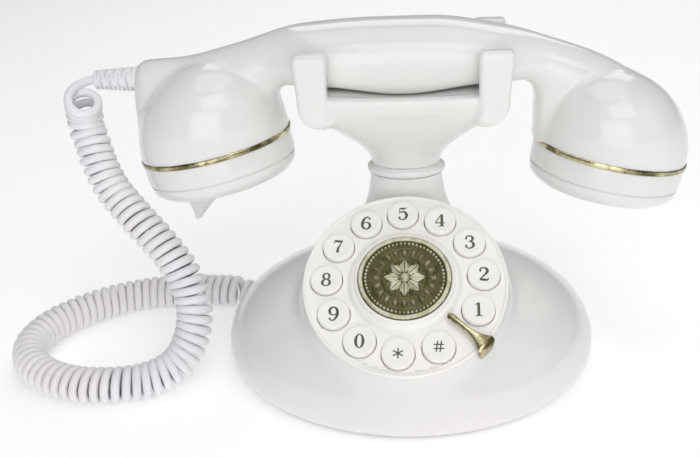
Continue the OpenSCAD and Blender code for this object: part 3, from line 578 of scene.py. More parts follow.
def medal_height(r, turn):
    def ridge(middle, wide):
        return np.exp(-((r - middle) / wide) ** 2)

    height = np.full(r.shape, medal_field)
    height += 0.34 * ridge(13.7, 0.28) + 0.34 * ridge(9.1, 0.28) + 0.2 * ridge(14.6, 0.2)
    bead = np.hypot(r - 15.8, r * fold(turn, 60))
    height += 0.75 * np.sqrt(np.clip(1 - (bead / 0.78) ** 2, 0, 1))
    height += 0.55 * leaf(r * fold(turn, 20), r - 9.7, 3.5, 0.95)
    berry = np.hypot(r - 12.2, r * fold(turn, 20, 0.5))
    height += 0.35 * np.sqrt(np.clip(1 - (berry / 0.6) ** 2, 0, 1))
    height += 0.8 * leaf(r * fold(turn, 8), r - 1.9, 6.4, 2.25)
    height += 0.4 * leaf(r * fold(turn, 8, 0.5), r - 3.8, 4.7, 1.0)
    button = np.clip(1 - (r / 2.3) ** 2, 0, 1)
    height = np.maximum(height, medal_field + 1.05 * np.sqrt(button) + 0.02)
    rim = np.clip((r - 16.8) / 0.35, 0, 1)
    return height + (medal_rim - height) * rim * rim * (3 - 2 * rim)


def old_bronze():
    finish = Finish("old_bronze", Metallic=0.85, Specular_IOR_Level=0.5)
    outward = (0.0, -math.sin(dial_tilt), math.cos(dial_tilt))
    up = finish.node("VectorMath", {"operation": "DOT_PRODUCT"}, {
        0: finish.place(), 1: outward}, "Value")
    floor_level = float(dial_middle @ np.array(outward)) * MM
    raised = (up - floor_level).ramp(0.0037, 0.0047)
    patches = finish.noise(260.0, 4.0, 0.6)
    worn = (raised * 0.8 + patches * 0.5 - 0.2).ramp(0.2, 0.85)
    low = finish.mix(patches.ramp(0.35, 0.65), shade(84, 82, 50), shade(104, 100, 66))
    high = finish.mix(patches.ramp(0.4, 0.6), shade(178, 176, 146), shade(210, 208, 186))
    finish.set("Base Color", finish.mix(worn, low, high))
    finish.set("Roughness", patches.ramp(0.3, 0.7, 0.32, 0.5))
    finish.set("Normal", finish.bump(finish.noise(1500.0, 3.0), 0.00005))
    return finish.material


def medallion_disc():
    columns = 360
    turn = whole_turn(columns)
    radii = np.concatenate([np.linspace(0.15, 17.2, 96), np.linspace(17.35, 18.5, 5)])
    grid_r, grid_turn = np.meshgrid(radii, turn, indexing="ij")
    height = medal_height(grid_r, grid_turn)
    edge = [(18.8, medal_rim - 0.12), (medal_r, medal_rim - 0.45), (medal_r, medal_low)]
    rows = [np.stack([r * np.cos(turn), r * np.sin(turn), h], axis=1)
            for r, h in zip(radii, height)]
    rows += [np.stack([r * np.cos(turn), r * np.sin(turn), np.full(columns, h)], axis=1)
             for r, h in edge]
    points = np.concatenate(rows)
    return make_mesh("medallion_relief", from_dial(points),
                     closed_tube(len(rows), columns, outward=False), old_bronze())


medal = medallion_disc()
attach(medal, "base")
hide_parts("medallion")


# ---- Keys ----
# Twelve round keys in the same cream plastic, each with a dished top and a
# rolled edge, and its number printed in olive grey in a bookish face.
key_r = 6.5
key_rise = 1.8
key_low = -3.2
dish_r = 4.9
dish_middle = 1.38
number_thick = 0.05
number_size = 1.12
number_bold = 1.3


def dish(r):
    return dish_middle + (key_rise - dish_middle) * np.minimum(np.asarray(r) / dish_r, 1.0) ** 2


def oval_stroke(middle, half_w, half_t, side, top):
    """A stroke round an oval, side wide where it runs upright and top wide where it lies."""
    return [(middle[0] + half_w * math.cos(q), middle[1] + half_t * math.sin(q),
             side + (top - side) * math.sin(q) ** 2)
            for q in np.radians(np.linspace(0, 360, 24))]


# Each stroke is a run of (across, up, half width); a blob has one entry.
number_strokes = {
    "1": [[(0.1, -2.4, 0.42), (0.1, 2.6, 0.42)], [(0.1, 2.6, 0.18), (-1.1, 1.75, 0.12)],
          [(-1.1, -2.5, 0.17), (1.3, -2.5, 0.17)]],
    "2": [[(-1.25, 1.45, 0.42)],
          [(-1.45, 1.5, 0.2), (-1.1, 2.3, 0.22), (-0.1, 2.62, 0.22), (1.0, 2.2, 0.36),
           (1.3, 1.3, 0.44), (0.8, 0.35, 0.36), (-0.3, -0.8, 0.24), (-1.25, -1.9, 0.18),
           (-1.5, -2.35, 0.16)],
          [(-1.5, -2.25, 0.32), (-0.5, -2.2, 0.42), (0.6, -2.35, 0.42), (1.3, -2.2, 0.26),
           (1.6, -1.5, 0.12)]],
    "3": [[(-1.2, 1.6, 0.4)], [(-1.25, -1.6, 0.42)],
          [(-1.35, 1.7, 0.18), (-0.9, 2.4, 0.2), (0.0, 2.62, 0.22), (0.95, 2.2, 0.34),
           (1.2, 1.45, 0.42), (0.8, 0.65, 0.32), (0.0, 0.3, 0.17), (-0.4, 0.28, 0.15)],
          [(0.0, 0.3, 0.15), (0.95, 0.0, 0.3), (1.45, -1.05, 0.46), (1.05, -2.15, 0.34),
           (0.0, -2.65, 0.22), (-1.0, -2.4, 0.2), (-1.45, -1.75, 0.18)]],
    "4": [[(0.4, 2.6, 0.15), (-1.75, -0.95, 0.15)], [(-1.75, -1.05, 0.2), (1.7, -1.05, 0.2)],
          [(0.65, 2.6, 0.42), (0.65, -2.4, 0.42)], [(-0.5, -2.5, 0.16), (1.6, -2.5, 0.16)]],
    "5": [[(-1.0, 2.45, 0.22), (0.2, 2.3, 0.34), (1.35, 2.6, 0.14)],
          [(-1.1, 2.55, 0.14), (-1.3, 0.35, 0.14)], [(-1.2, -1.65, 0.42)],
          [(-1.3, 0.35, 0.14), (-0.4, 0.95, 0.22), (0.7, 0.8, 0.34), (1.45, -0.5, 0.46),
           (1.05, -1.95, 0.36), (0.0, -2.62, 0.22), (-1.0, -2.4, 0.2), (-1.45, -1.8, 0.18)]],
    "6": [[(1.25, 1.9, 0.36)],
          [(1.3, 2.0, 0.16), (0.7, 2.55, 0.2), (-0.2, 2.45, 0.26), (-1.1, 1.3, 0.4),
           (-1.45, -0.4, 0.46), (-1.1, -1.9, 0.38), (0.0, -2.62, 0.22), (1.05, -2.05, 0.36),
           (1.4, -1.0, 0.44), (1.0, 0.0, 0.32), (0.1, 0.45, 0.18), (-0.8, 0.1, 0.16),
           (-1.3, -0.7, 0.14)]],
    "7": [[(-1.5, 2.1, 0.12), (-1.2, 2.5, 0.3), (-0.3, 2.3, 0.4), (0.8, 2.3, 0.34),
           (1.55, 2.55, 0.14)],
          [(1.5, 2.4, 0.16), (0.6, 0.8, 0.22), (-0.1, -0.7, 0.36), (-0.3, -2.5, 0.46)],
          [(-1.55, 1.4, 0.12), (-1.4, 2.4, 0.2)]],
    "8": [oval_stroke((0, 1.3), 1.1, 1.2, 0.38, 0.18),
          oval_stroke((0, -1.25), 1.4, 1.35, 0.42, 0.2)],
    "0": [oval_stroke((0, 0), 1.3, 2.55, 0.46, 0.18)],
    "star": [[(0, 0, 0.22), (2.0 * math.cos(q), 2.0 * math.sin(q), 0.2)]
             for q in np.radians(np.arange(30, 390, 60))],
    "hash": [[(-0.9, -2.1, 0.2), (-0.4, 2.1, 0.2)], [(0.4, -2.1, 0.2), (0.9, 2.1, 0.2)],
             [(-1.8, 0.75, 0.2), (1.8, 0.75, 0.2)], [(-1.8, -0.75, 0.2), (1.8, -0.75, 0.2)]]}
number_strokes["9"] = [[(-x, -y, w) for x, y, w in stroke] for stroke in number_strokes["6"]]


def curve_through(marks, step):
    """Points on a smooth curve through the marks, at even shares of each span."""
    ends = np.vstack([2 * marks[0] - marks[1], marks, 2 * marks[-1] - marks[-2]])
    fine = []
    for a, b, c, d in zip(ends, ends[1:], ends[2:], ends[3:]):
        for t in np.arange(0, 1, step):
            fine.append(0.5 * (2 * b + (c - a) * t + (2 * a - 5 * b + 4 * c - d) * t * t
                               + (3 * b - a - 3 * c + d) * t ** 3))
    return np.array(fine + [marks[-1]])


def smooth_stroke(stroke):
    """A stroke of many short steps, or a ring of them for a blob."""
    marks = np.array(stroke, float)
    if len(marks) == 1:
        x, y, w = marks[0]
        return np.array([[x - w, y, 0.02], [x - 0.87 * w, y, 0.5 * w], [x - 0.5 * w, y, 0.87 * w],
                         [x, y, w], [x + 0.5 * w, y, 0.87 * w], [x + 0.87 * w, y, 0.5 * w],
                         [x + w, y, 0.02]])
    if len(marks) > 20:
        return marks
    return curve_through(marks, 0.125)


def number_print(name):
    """A thin slab for each stroke, lying in the dish."""
    points, faces = [], []
    for stroke in number_strokes[name]:
        line = smooth_stroke(stroke)
        along = np.gradient(line[:, :2], axis=0)
        along /= np.linalg.norm(along, axis=1)[:, None]
        across = np.stack([-along[:, 1], along[:, 0]], axis=1) * line[:, 2:] * number_bold
        left, right = number_size * line[:, :2] + across, number_size * line[:, :2] - across
        for i, (a, b) in enumerate(zip(left, right)):
            high_a, high_b = (dish(np.hypot(*p)) + number_thick / 2 for p in (a, b))
            points += [(*a, high_a), (*b, high_b), (*b, high_b - 2 * number_thick),
                       (*a, high_a - 2 * number_thick)]
        first = len(points) - 4 * len(line)
        for i in range(len(line) - 1):
            at = first + 4 * i
            for k in range(4):
                faces.append([at + k, at + (k + 1) % 4, at + 4 + (k + 1) % 4, at + 4 + k])
        faces += [[first, first + 3, first + 2, first + 1], [len(points) - 4 + k for k in range(4)]]
    return np.array(points), faces


def key_ink():
    finish = Finish("key_ink", Specular_IOR_Level=0.35)
    thin = finish.noise(1800.0, 3.0)
    finish.set("Base Color", finish.mix(
        thin.ramp(0.35, 0.7), shade(76, 78, 60), shade(102, 102, 82)))
    finish.set("Roughness", thin.ramp(0.3, 0.7, 0.42, 0.58))
    return finish.material


def push_key(name, spot):
    bowl = [(r, float(dish(r))) for r in np.linspace(dish_r, 0, 14)]
    edge = [(0, key_low, 0), (key_r, key_low, 0.2), (key_r, key_rise - 0.1, 0.9),
            (5.6, key_rise + 0.02, 0.5), (dish_r, key_rise, 0)]
    profile = np.vstack([rounded(edge), bowl[1:]])
    cap, cap_faces = swing(profile, 72)
    ink, ink_faces = number_print(name)
    faces = cap_faces + [[k + len(cap) for k in face] for face in ink_faces]
    key = make_mesh("push_key_" + name, from_dial(np.vstack([cap, ink]) + spot), faces, cream)
    key.data.materials.append(ink_material)
    shares = [0] * len(cap_faces) + [1] * len(ink_faces)
    key.data.polygons.foreach_set("material_index", shares)
    key.data.set_sharp_from_angle(angle=math.radians(50))
    return key


ink_material = key_ink()
for key_name, key_place in zip(key_names, key_places):
    key = push_key(key_name, key_place)
    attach(key, "key_" + key_name)
    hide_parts("key_" + key_name)


# ---- Finger stop ----
# A polished brass bar, half round in section, that runs in over the keys to a
# round tip, spreads like a fish's tail at the rim and is bent down over it.
stop_turn = math.radians(-42.0)
stop_tip_r = 23.2
stop_lift = 2.2
stop_bend_r = 41.9
stop_drop = -4.8


def stop_line():
    """Stations along the bar: distance out, height, half width, thickness and lean."""
    rows = []
    for t in np.linspace(0, 1, 9):
        swell = math.sin(t * math.pi / 2)
        rows.append((stop_tip_r + 1.5 * (1 - math.cos(t * math.pi / 2)),
                     1.5 * swell + 0.02, 0.35 + 0.75 * swell))
    for t in np.linspace(0, 1, 26)[1:]:
        out = stop_tip_r + 1.5 + (stop_bend_r - stop_tip_r - 1.5) * t
        waist = 0.22 * math.sin(math.pi * min(t / 0.7, 1))
        tail = 2.75 * max(0, (t - 0.5) / 0.5) ** 2.2
        rows.append((out, 1.5 - waist + tail, 1.1 + 0.05 * t))
    flat = [(out, stop_lift, wide, thick, 0.0) for out, wide, thick in rows]
    bent = []
    bend = 1.3
    for lean in np.radians(np.linspace(12, 90, 9)):
        bent.append((stop_bend_r + bend * math.sin(lean), stop_lift - bend * (1 - math.cos(lean)),
                     4.25, 1.15, lean))
    low = stop_lift - bend
    for t in np.linspace(0, 1, 8)[1:]:
        bent.append((stop_bend_r + bend, low + (stop_drop - low) * t, 4.25 - 0.5 * t ** 3,
                     1.15 - 0.55 * t ** 4, math.pi / 2))
    return flat + bent


def finger_bar():
    around = np.concatenate([np.radians(np.linspace(0, 180, 19)),
                             np.pi * np.array([1.12, 1.5, 1.88])])
    points = []
    stations = stop_line()
    for out, height, wide, thick, lean in stations:
        for q in around:
            side = wide * math.cos(q) * (1.0 if math.sin(q) > -0.01 else 0.93)
            rise = thick * (max(math.sin(q), 0.0) ** 0.8) - (0.12 if math.sin(q) < -0.01 else 0.0)
            points.append((out + rise * math.sin(lean), side, height + rise * math.cos(lean)))
    count = len(around)
    faces = closed_tube(len(stations), count, outward=False)
    points = np.array(points)
    cos, sin = math.cos(stop_turn), math.sin(stop_turn)
    points = np.stack([points[:, 0] * cos - points[:, 1] * sin,
                       points[:, 0] * sin + points[:, 1] * cos, points[:, 2]], axis=1)
    bar = make_mesh("finger_bar", from_dial(points), faces, brass)
    bar.data.set_sharp_from_angle(angle=math.radians(50))
    return bar


def polished_brass(name, pale, dark, rough=0.12):
    """Lacquered brass: long dark streaks that are painted reflections, fine wiping marks and a
    lively gloss.
    """
    finish = Finish(name, Metallic=1.0, Coat_Weight=0.3, Coat_Roughness=0.1)
    cloud = finish.noise(85.0, 4.0, 0.6)
    fine = finish.noise(420.0, 3.0, 0.6)
    # Painted reflection: noise streaks mix in the dark colour where dark surroundings would be
    # reflected in the brass.
    painted_reflection_streaks = (cloud * 0.75 + fine * 0.25).ramp(0.4, 0.62)
    finish.set("Base Color", finish.mix(painted_reflection_streaks, dark, pale))
    finish.set("Roughness", fine.ramp(0.3, 0.7, rough, rough + 0.14))
    finish.set("Normal", finish.bump(finish.noise(900.0, 2.0), 0.00004))
    return finish.material


# The dark colour is a painted reflection of dark surroundings.
brass = polished_brass("polished_brass", shade(222, 212, 172), shade(96, 86, 52))
stop = finger_bar()
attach(stop, "base")
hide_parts("finger_stop")


# ---- Neck collar ----
# A glossy oval bead, pressed between the base's neck and the cradle.
collar_tall = 4.4


def over_neck(points):
    return np.asarray(points) + np.array([0.0, cradle_y, neck_top_z])


collar = turned("oval_bead", rounded([
    (13.0, 0.02, 0), (15.0, 0.02, 0.2), (15.9, 0.35, 0.5), (16.9, 1.0, 0.9), (17.1, 2.0, 0.9),
    (16.9, 3.0, 0.9), (15.9, 3.7, 0.5), (15.0, 3.95, 0.2), (14.9, collar_tall - 0.02, 0.1),
    (13.0, collar_tall - 0.02, 0)], 4), 160, ivory, over_neck, oval=neck_oval, ring=True)
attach(collar, "base")
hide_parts("neck_collar")


# ---- Cradle ----
# One glossy moulding that flares from the oval neck to a saddle with a dished
# top, a thin lip round it, and a square prong rising from each corner.
cradle_low = 84.4
saddle_z = 119.4
saddle_half_w = 41.8
saddle_half_d = 27.8
cradle_foot_w = 15.0
cradle_foot_d = 10.5
flare_rise = 36.0
lip_tall = 1.8
prong_top = 140.0
prong_low = 109.8
prong_middle_y = 24.0
prong_half_y = 3.8
prong_round = 2.0
prong_foot_round = 8.5
plunger_hole_r = 4.25
belly_dip = 1.85
belly_half_w = 36.0
prong_from_z = 111.4


def ease(share):
    share = np.clip(share, 0, 1)
    return share * share * (3 - 2 * share)


def belly(x):
    """How much the saddle dips towards its middle, under the swell of the handle."""
    return belly_dip * (1 - np.cos(np.pi * np.clip(np.abs(x) / belly_half_w, 0, 1)))


def cradle_side(points):
    x, y, z = np.moveaxis(points, -1, 0)
    rise = ease((z - cradle_low) / flare_rise)
    half_w = cradle_foot_w + (saddle_half_w - 0.4 - cradle_foot_w) * rise
    half_d = cradle_foot_d + (saddle_half_d - 0.4 - cradle_foot_d) * rise
    power = 2 + 4 * rise
    across = (np.abs(x) / half_w) ** power + (np.abs(y - cradle_y) / half_d) ** power
    return (np.maximum(across, 1e-6) ** (1 / power) - 1) * half_d


def saddle_top(x, y):
    """The dished top of the saddle, with a low lip along its front and back edges."""
    dip = 0.62 * belly(x)
    edge = ease((np.abs(y - cradle_y) - 19.0) / 4.5)
    return saddle_z + dip + edge * (lip_tall - 0.8 * dip)


def rounded_box(x, y, z, half, bend):
    q = np.stack([np.abs(along) - reach + bend for along, reach in zip((x, y, z), half)])
    return np.linalg.norm(np.maximum(q, 0), axis=0) + np.minimum(q.max(axis=0), 0) - bend


def cradle_field(points):
    x, y, z = np.moveaxis(points, -1, 0)
    body = soft_cut(as_distance(cradle_side, points), z - saddle_top(x, y), 1.3)
    up = np.clip((z - prong_from_z) / (prong_top - prong_from_z), 0, 1)
    middle = 36.0 + 0.6 * up
    half_w = 5.75 + 1.15 * up
    prong = rounded_box(np.abs(x) - middle, np.abs(y - cradle_y) - prong_middle_y,
                        z - (prong_top + prong_low) / 2,
                        (half_w, prong_half_y, (prong_top - prong_low) / 2), prong_round)
    corner = np.stack([np.abs(x) - middle - half_w, prong_low - z]) + prong_foot_round
    prong = np.maximum(prong, np.linalg.norm(np.maximum(corner, 0), axis=0) - prong_foot_round)
    melt = 1.4 + 6.0 * ease((118.0 - z) / 6.0)
    return np.maximum(soft_union(body, prong, melt), cradle_low + 0.02 - z)


def skin_of(field, low, high, step):
    """Points and quads round the field's inside, one point to each cell that it crosses."""
    lines = [np.arange(a, b + step, step) for a, b in zip(low, high)]
    inside = np.empty([len(line) for line in lines], bool)
    for i, x in enumerate(lines[0]):
        slab = np.stack(np.meshgrid([x], lines[1], lines[2], indexing="ij"), -1)
        inside[i] = field(slab)[0] < 0
    wide, deep, tall = (length - 1 for length in inside.shape)
    corners = [inside[i:wide + i, j:deep + j, k:tall + k]
               for i in (0, 1) for j in (0, 1) for k in (0, 1)]
    count = np.sum(corners, axis=0)
    crossed = (count > 0) & (count < 8)
    label = np.full(crossed.shape, -1)
    label[crossed] = np.arange(crossed.sum())
    points = np.array(low) + (np.argwhere(crossed) + 0.5) * step
    faces = []
    for axis in range(3):
        one, two = [k for k in range(3) if k != axis]
        ahead = np.take(inside, range(1, inside.shape[axis]), axis)
        behind_it = np.take(inside, range(inside.shape[axis] - 1), axis)
        for change, turn in ((behind_it & ~ahead, 1), (~behind_it & ahead, -1)):
            spots = np.argwhere(change)
            spots = spots[(spots[:, one] > 0) & (spots[:, two] > 0)]
            ring = []
            for shift_one, shift_two in ((0, 0), (-1, 0), (-1, -1), (0, -1)):
                cell = spots.copy()
                cell[:, one] += shift_one
                cell[:, two] += shift_two
                ring.append(label[tuple(cell.T)])
            quads = np.stack(ring, axis=1)
            faces.append(quads if (turn == 1) == (axis != 1) else quads[:, ::-1])
    return points, np.vstack(faces)


def settle_on(field, points, faces, rounds=10):
    """Moves the points onto the field's surface and evens them out along it."""
    edges = np.vstack([faces[:, [0, 1]], faces[:, [1, 2]], faces[:, [2, 3]], faces[:, [3, 0]]])
    edges = np.unique(np.sort(edges, axis=1), axis=0)
    number = np.bincount(edges.ravel(), minlength=len(points))[:, None]
    for turn in range(rounds):
        if turn < rounds - 3:
            total = np.zeros_like(points)
            np.add.at(total, edges[:, 0], points[edges[:, 1]])
            np.add.at(total, edges[:, 1], points[edges[:, 0]])
            points = points + 0.5 * (total / number - points)
        slope = slope_of(field, points)
        steep = np.maximum((slope ** 2).sum(axis=1), 0.05)
        move = slope * (field(points) / steep)[:, None]
        far = np.linalg.norm(move, axis=1)[:, None]
        points = points - move * np.minimum(1, 1.0 / np.maximum(far, 1e-9))
    return points


def grown(name, field, low, high, step, material, sharp_from=40):
    points, faces = skin_of(field, low, high, step)
    piece = make_mesh(name, settle_on(field, points, faces), faces.tolist(), material)
    piece.data.set_sharp_from_angle(angle=math.radians(sharp_from))
    return piece


def plunger_hole():
    points, faces = swing([(0, 104.0), (plunger_hole_r, 104.0), (plunger_hole_r, 118.9),
                           (plunger_hole_r + 0.5, 119.6), (plunger_hole_r + 1.2, 126.0),
                           (0, 126.0)], 64)
    return make_mesh("cutter", points + np.array([0.0, cradle_y, 0.0]), faces, ivory)


cradle = grown("saddle_cradle", cradle_field, (-46.3, -9.3, 83.2), (46.3, 53.3, 142.2), 0.85, ivory)
carve(cradle, plunger_hole())
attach(cradle, "base")
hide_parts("cradle")


# ---- Handset shell ----
# One glossy moulding: a broad handle arched over the saddle, with a soft ridge
# and a swelling underside, that runs into a round dome over each cup.
cup_x = 85.3
cup_shift = 1.6
cup_z = 95.5
ear_drop = 5.7
cup_tilt = math.radians(11)
cup_lean = math.radians(6)
cup_r = 32.3
cup_spread = {-1: 1.03, 1: 0.99}
dome_tall = {-1: 36.0, 1: 34.0}
dome_power = 2.03
dome_inward = 0.12
dome_forward = 0.22
handle_half_d = 18.0
arm_half_d = 12.0
arm_from_x = 34.0
arm_over_x = 24.0
handle_left_x = -116.6
handle_right_x = 99.0
handle_end_round = 10.0
handle_crown = 15.5
handle_belly_z = 119.7
inner_x = 54.2
armpit_round = 11.6
crease = 2.0
shell_skirt = 1.2
ridge = np.array([
    [-117.0, 88.0], [-116.4, 104.0], [-115.8, 116.0], [-115.0, 125.0], [-113.4, 130.2],
    [-110, 132.0], [-94, 133.1], [-72, 138.0], [-43, 145.6], [-10, 147.4], [10, 147.4],
    [42, 142.8], [65, 135.9], [82, 129.2], [97.5, 119.6], [109, 107.0]])


def hermite(a, b, leaving, arriving, t):
    """A cubic from a to b, with the slopes that it leaves and arrives with."""
    return ((2 * t ** 3 - 3 * t ** 2 + 1) * a + (t ** 3 - 2 * t ** 2 + t) * leaving
            + (3 * t ** 2 - 2 * t ** 3) * b + (t ** 3 - t ** 2) * arriving)


def smooth_curve(knots, count=16):
    """Many points on a curve through the knots that never overshoots them."""
    x, y = knots[:, 0], knots[:, 1]
    wide = np.diff(x)
    steep = np.diff(y) / wide
    tangent = np.concatenate([steep[:1], np.where(
        steep[:-1] * steep[1:] > 0, 2 * steep[:-1] * steep[1:] / np.where(
            steep[:-1] + steep[1:] == 0, 1, steep[:-1] + steep[1:]), 0), steep[-1:]])
    xs, ys = [], []
    for i in range(len(wide)):
        t = np.linspace(0, 1, count, endpoint=False)
        xs.append(x[i] + wide[i] * t)
        ys.append(hermite(y[i], y[i + 1], wide[i] * tangent[i], wide[i] * tangent[i + 1], t))
    return np.append(np.concatenate(xs), x[-1]), np.append(np.concatenate(ys), y[-1])


ridge_x, ridge_z = smooth_curve(ridge)


def cup_middle(side):
    return np.array([side * cup_x + cup_shift, cradle_y, cup_z - (ear_drop if side > 0 else 0.0)])


def in_cup(points, side):
    """Across, depth and up in a cup's own frame, from the middle of its rim."""
    x, y, z = np.moveaxis(np.asarray(points) - cup_middle(side), -1, 0)
    cos, sin = math.cos(side * cup_tilt), math.sin(side * cup_tilt)
    x, z = x * cos - z * sin, x * sin + z * cos
    cos, sin = math.cos(cup_lean), math.sin(cup_lean)
    spread = cup_spread[side]
    return np.stack([x / spread, (y * cos - z * sin) / spread, y * sin + z * cos], axis=-1)


def from_cup(points, side):
    x, y, z = np.moveaxis(np.asarray(points, float), -1, 0)
    x, y = x * cup_spread[side], y * cup_spread[side]
    cos, sin = math.cos(cup_lean), math.sin(cup_lean)
    y, z = y * cos + z * sin, z * cos - y * sin
    cos, sin = math.cos(side * cup_tilt), math.sin(side * cup_tilt)
    return np.stack([x * cos + z * sin, y, z * cos - x * sin], axis=-1) + cup_middle(side)


def dome_field(points, side):
    x, y, z = np.moveaxis(in_cup(points, side), -1, 0)
    tall = np.maximum(z, 0)
    across = np.hypot(x + side * dome_inward * tall, y + dome_forward * tall)
    return np.where(z > 0, superellipse((across, cup_r), (tall, dome_tall[side]), dome_power),
                    across - cup_r)


def oval_handle(points):
    """The oval back and sides: broad in the hand, slim over the cups, round at the cord's end."""
    x, y, z = np.moveaxis(points, -1, 0)
    past = np.clip(handle_left_x + handle_end_round - x, 0, handle_end_round)
    slimmer = (handle_half_d - arm_half_d) * ease((np.abs(x) - arm_from_x) / arm_over_x)
    deep = (handle_half_d - slimmer
            - handle_end_round + np.sqrt(handle_end_round ** 2 - past ** 2))
    up = z - np.interp(x, ridge_x, ridge_z) + handle_crown
    return superellipse((y - cradle_y, deep), (np.maximum(up, 0), handle_crown), 2.25)


def handle_field(points):
    x, y, z = np.moveaxis(points, -1, 0)
    crowned = soft_cut(as_distance(oval_handle, points), handle_left_x - x, 2.0)
    crowned = np.maximum(crowned, x - handle_right_x)
    hollow = -soft_cut(z - handle_belly_z - belly(np.clip(np.abs(x), 0, belly_half_w)),
                       np.abs(x) - inner_x, armpit_round)
    underside_round = 5.0 + 4.0 * ease((np.abs(x) - 44.0) / 8.0)
    return soft_cut(crowned, hollow, underside_round)


def handset_field(points):
    whole = soft_union(handle_field(points), dome_field(points, -1), crease)
    whole = soft_union(whole, dome_field(points, 1), crease)
    up = np.where(points[..., 0] < 0, in_cup(points, -1)[..., 2], in_cup(points, 1)[..., 2])
    return np.maximum(whole, -up - shell_skirt)


handset = grown("handset_body", handset_field, (-122.3, -13.3, 79.2), (121.3, 58.3, 150.2),
                1.15, ivory)
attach(handset, "handset")
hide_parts("handset_shell")


# ---- Trim rings ----
# A thin polished brass ring, clamped between each cup's dome and its cap.
ring_thick = 2.2
ring_out = 0.6

ring_profile = rounded([
    (30.0, -ring_thick, 0), (cup_r + ring_out, -ring_thick, 0.8), (cup_r + ring_out, 0.0, 0.8),
    (30.0, 0.0, 0)], 6)
for side, node in ((-1, "mouth_ring"), (1, "ear_ring")):
    trim = turned(node + "_band", ring_profile, 192, brass,
                  lambda points, side=side: from_cup(points, side), ring=True)
    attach(trim, "handset")
    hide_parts(node)


# ---- Caps ----
# Glossy screw-on caps: a straight skirt, a fine turned groove, a rounded edge
# and a flat face. The ear cap has seven sound holes.
cap_tall = 18.5
groove_z = -11.4
cap_inner_r = 29.5
sound_circle_r = 8.0


def cap_profile():
    return rounded([
        (0, -cap_tall, 0), (cup_r - 4.5, -cap_tall, 3.4), (cup_r - 0.9, -cap_tall + 3.4, 3.0),
        (cup_r - 0.5, groove_z - 0.55, 0.3), (cup_r - 1.15, groove_z, 0.3),
        (cup_r - 0.15, groove_z + 0.5, 0.4), (cup_r, groove_z + 3, 1.0), (cup_r, -ring_thick, 0.3),
        (cap_inner_r, -ring_thick, 0), (cap_inner_r, groove_z, 0), (0, groove_z, 0)], 6)


def sound_holes(side):
    shape = swing([(0, -cap_tall - 1), (1.7, -cap_tall - 1), (1.3, -cap_tall + 0.4),
                   (1.3, -cap_tall + 5), (0, -cap_tall + 5)], 32)
    around = np.radians(np.arange(0, 360, 60))
    spots = np.vstack([[0.0, 0.0, 0.0], sound_circle_r * np.stack(
        [np.cos(around), np.sin(around), 0 * around], axis=1)])
    return repeated_cutter(shape, spots, lambda points: from_cup(points, side))


for side, node in ((-1, "mouth_cap"), (1, "ear_cap")):
    cap = turned(node + "_shell", cap_profile(), 192, ivory,
                 lambda points, side=side: from_cup(points, side))
    if node == "ear_cap":
        carve(cap, sound_holes(side), 40)
    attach(cap, "handset")
    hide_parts(node)


# ---- Mouthpiece horn ----
# A short pointed spout under the mouthpiece, with a closed rounded tip, which leans to the outside.
horn_foot = np.array([-9.0, -1.5, -18.4])
horn_tip = np.array([-15.0, -6.0, -31.0])
horn_foot_r = 12.0
horn_tip_r = 1.8


def horn_spout():
    columns = 96
    turn = whole_turn(columns)
    rows = []
    for t in np.linspace(0, 1, 28):
        wide = horn_tip_r + (horn_foot_r - horn_tip_r) * (1 - t) ** 1.1
        middle = horn_foot + (horn_tip - horn_foot) * np.array([t ** 1.15, t ** 1.15, t])
        rows.append((middle, wide))
    axis = (horn_tip - horn_foot) / np.linalg.norm(horn_tip - horn_foot)
    for a in np.radians([25, 50, 72]):
        rows.append((horn_tip + axis * horn_tip_r * 0.8 * math.sin(a), horn_tip_r * math.cos(a)))
    rings = []
    for middle, wide in rows:
        rings.append(np.stack([middle[0] + wide * np.cos(turn), middle[1] + wide * np.sin(turn),
                               np.full(columns, middle[2])], axis=1))
    points = np.concatenate(rings)
    return make_mesh("horn_spout", from_cup(points, -1),
                     closed_tube(len(rings), columns, outward=False), ivory)


horn = horn_spout()
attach(horn, "handset")
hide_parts("mouthpiece_horn")


# ---- Strain relief ----
# A soft vinyl boot where the cord leaves the mouthpiece end: a barrel cut by
# short slots, turn about above and below, so that it bends.
boot_seat_x = -114.2
boot_long = 19.0
boot_r = 5.4
boot_taper = 1.3
slot_rows = 10
slot_deep = 1.3
boot_middle = np.array([boot_seat_x, cradle_y, 124.2])


def cord_vinyl():
    finish = Finish("cord_vinyl", Roughness=0.36, Specular_IOR_Level=0.45,
                    Subsurface_Weight=0.12, Subsurface_Scale=0.002)
    finish.set("Subsurface Radius", (1.0, 0.9, 0.85))
    cloudy = finish.noise(60.0, 3.0)
    rosy = finish.noise(14.0, 1.0).ramp(0.45, 0.65)
    plain = finish.mix(cloudy.ramp(0.35, 0.7), shade(233, 233, 236), shade(240, 240, 242))
    finish.set("Base Color", finish.mix(rosy * 0.5, plain, shade(242, 235, 236)))
    finish.set("Roughness", cloudy.ramp(0.3, 0.7, 0.3, 0.44))
    finish.set("Normal", finish.bump(finish.noise(2400.0, 2.0), 0.00004))
    return finish.material


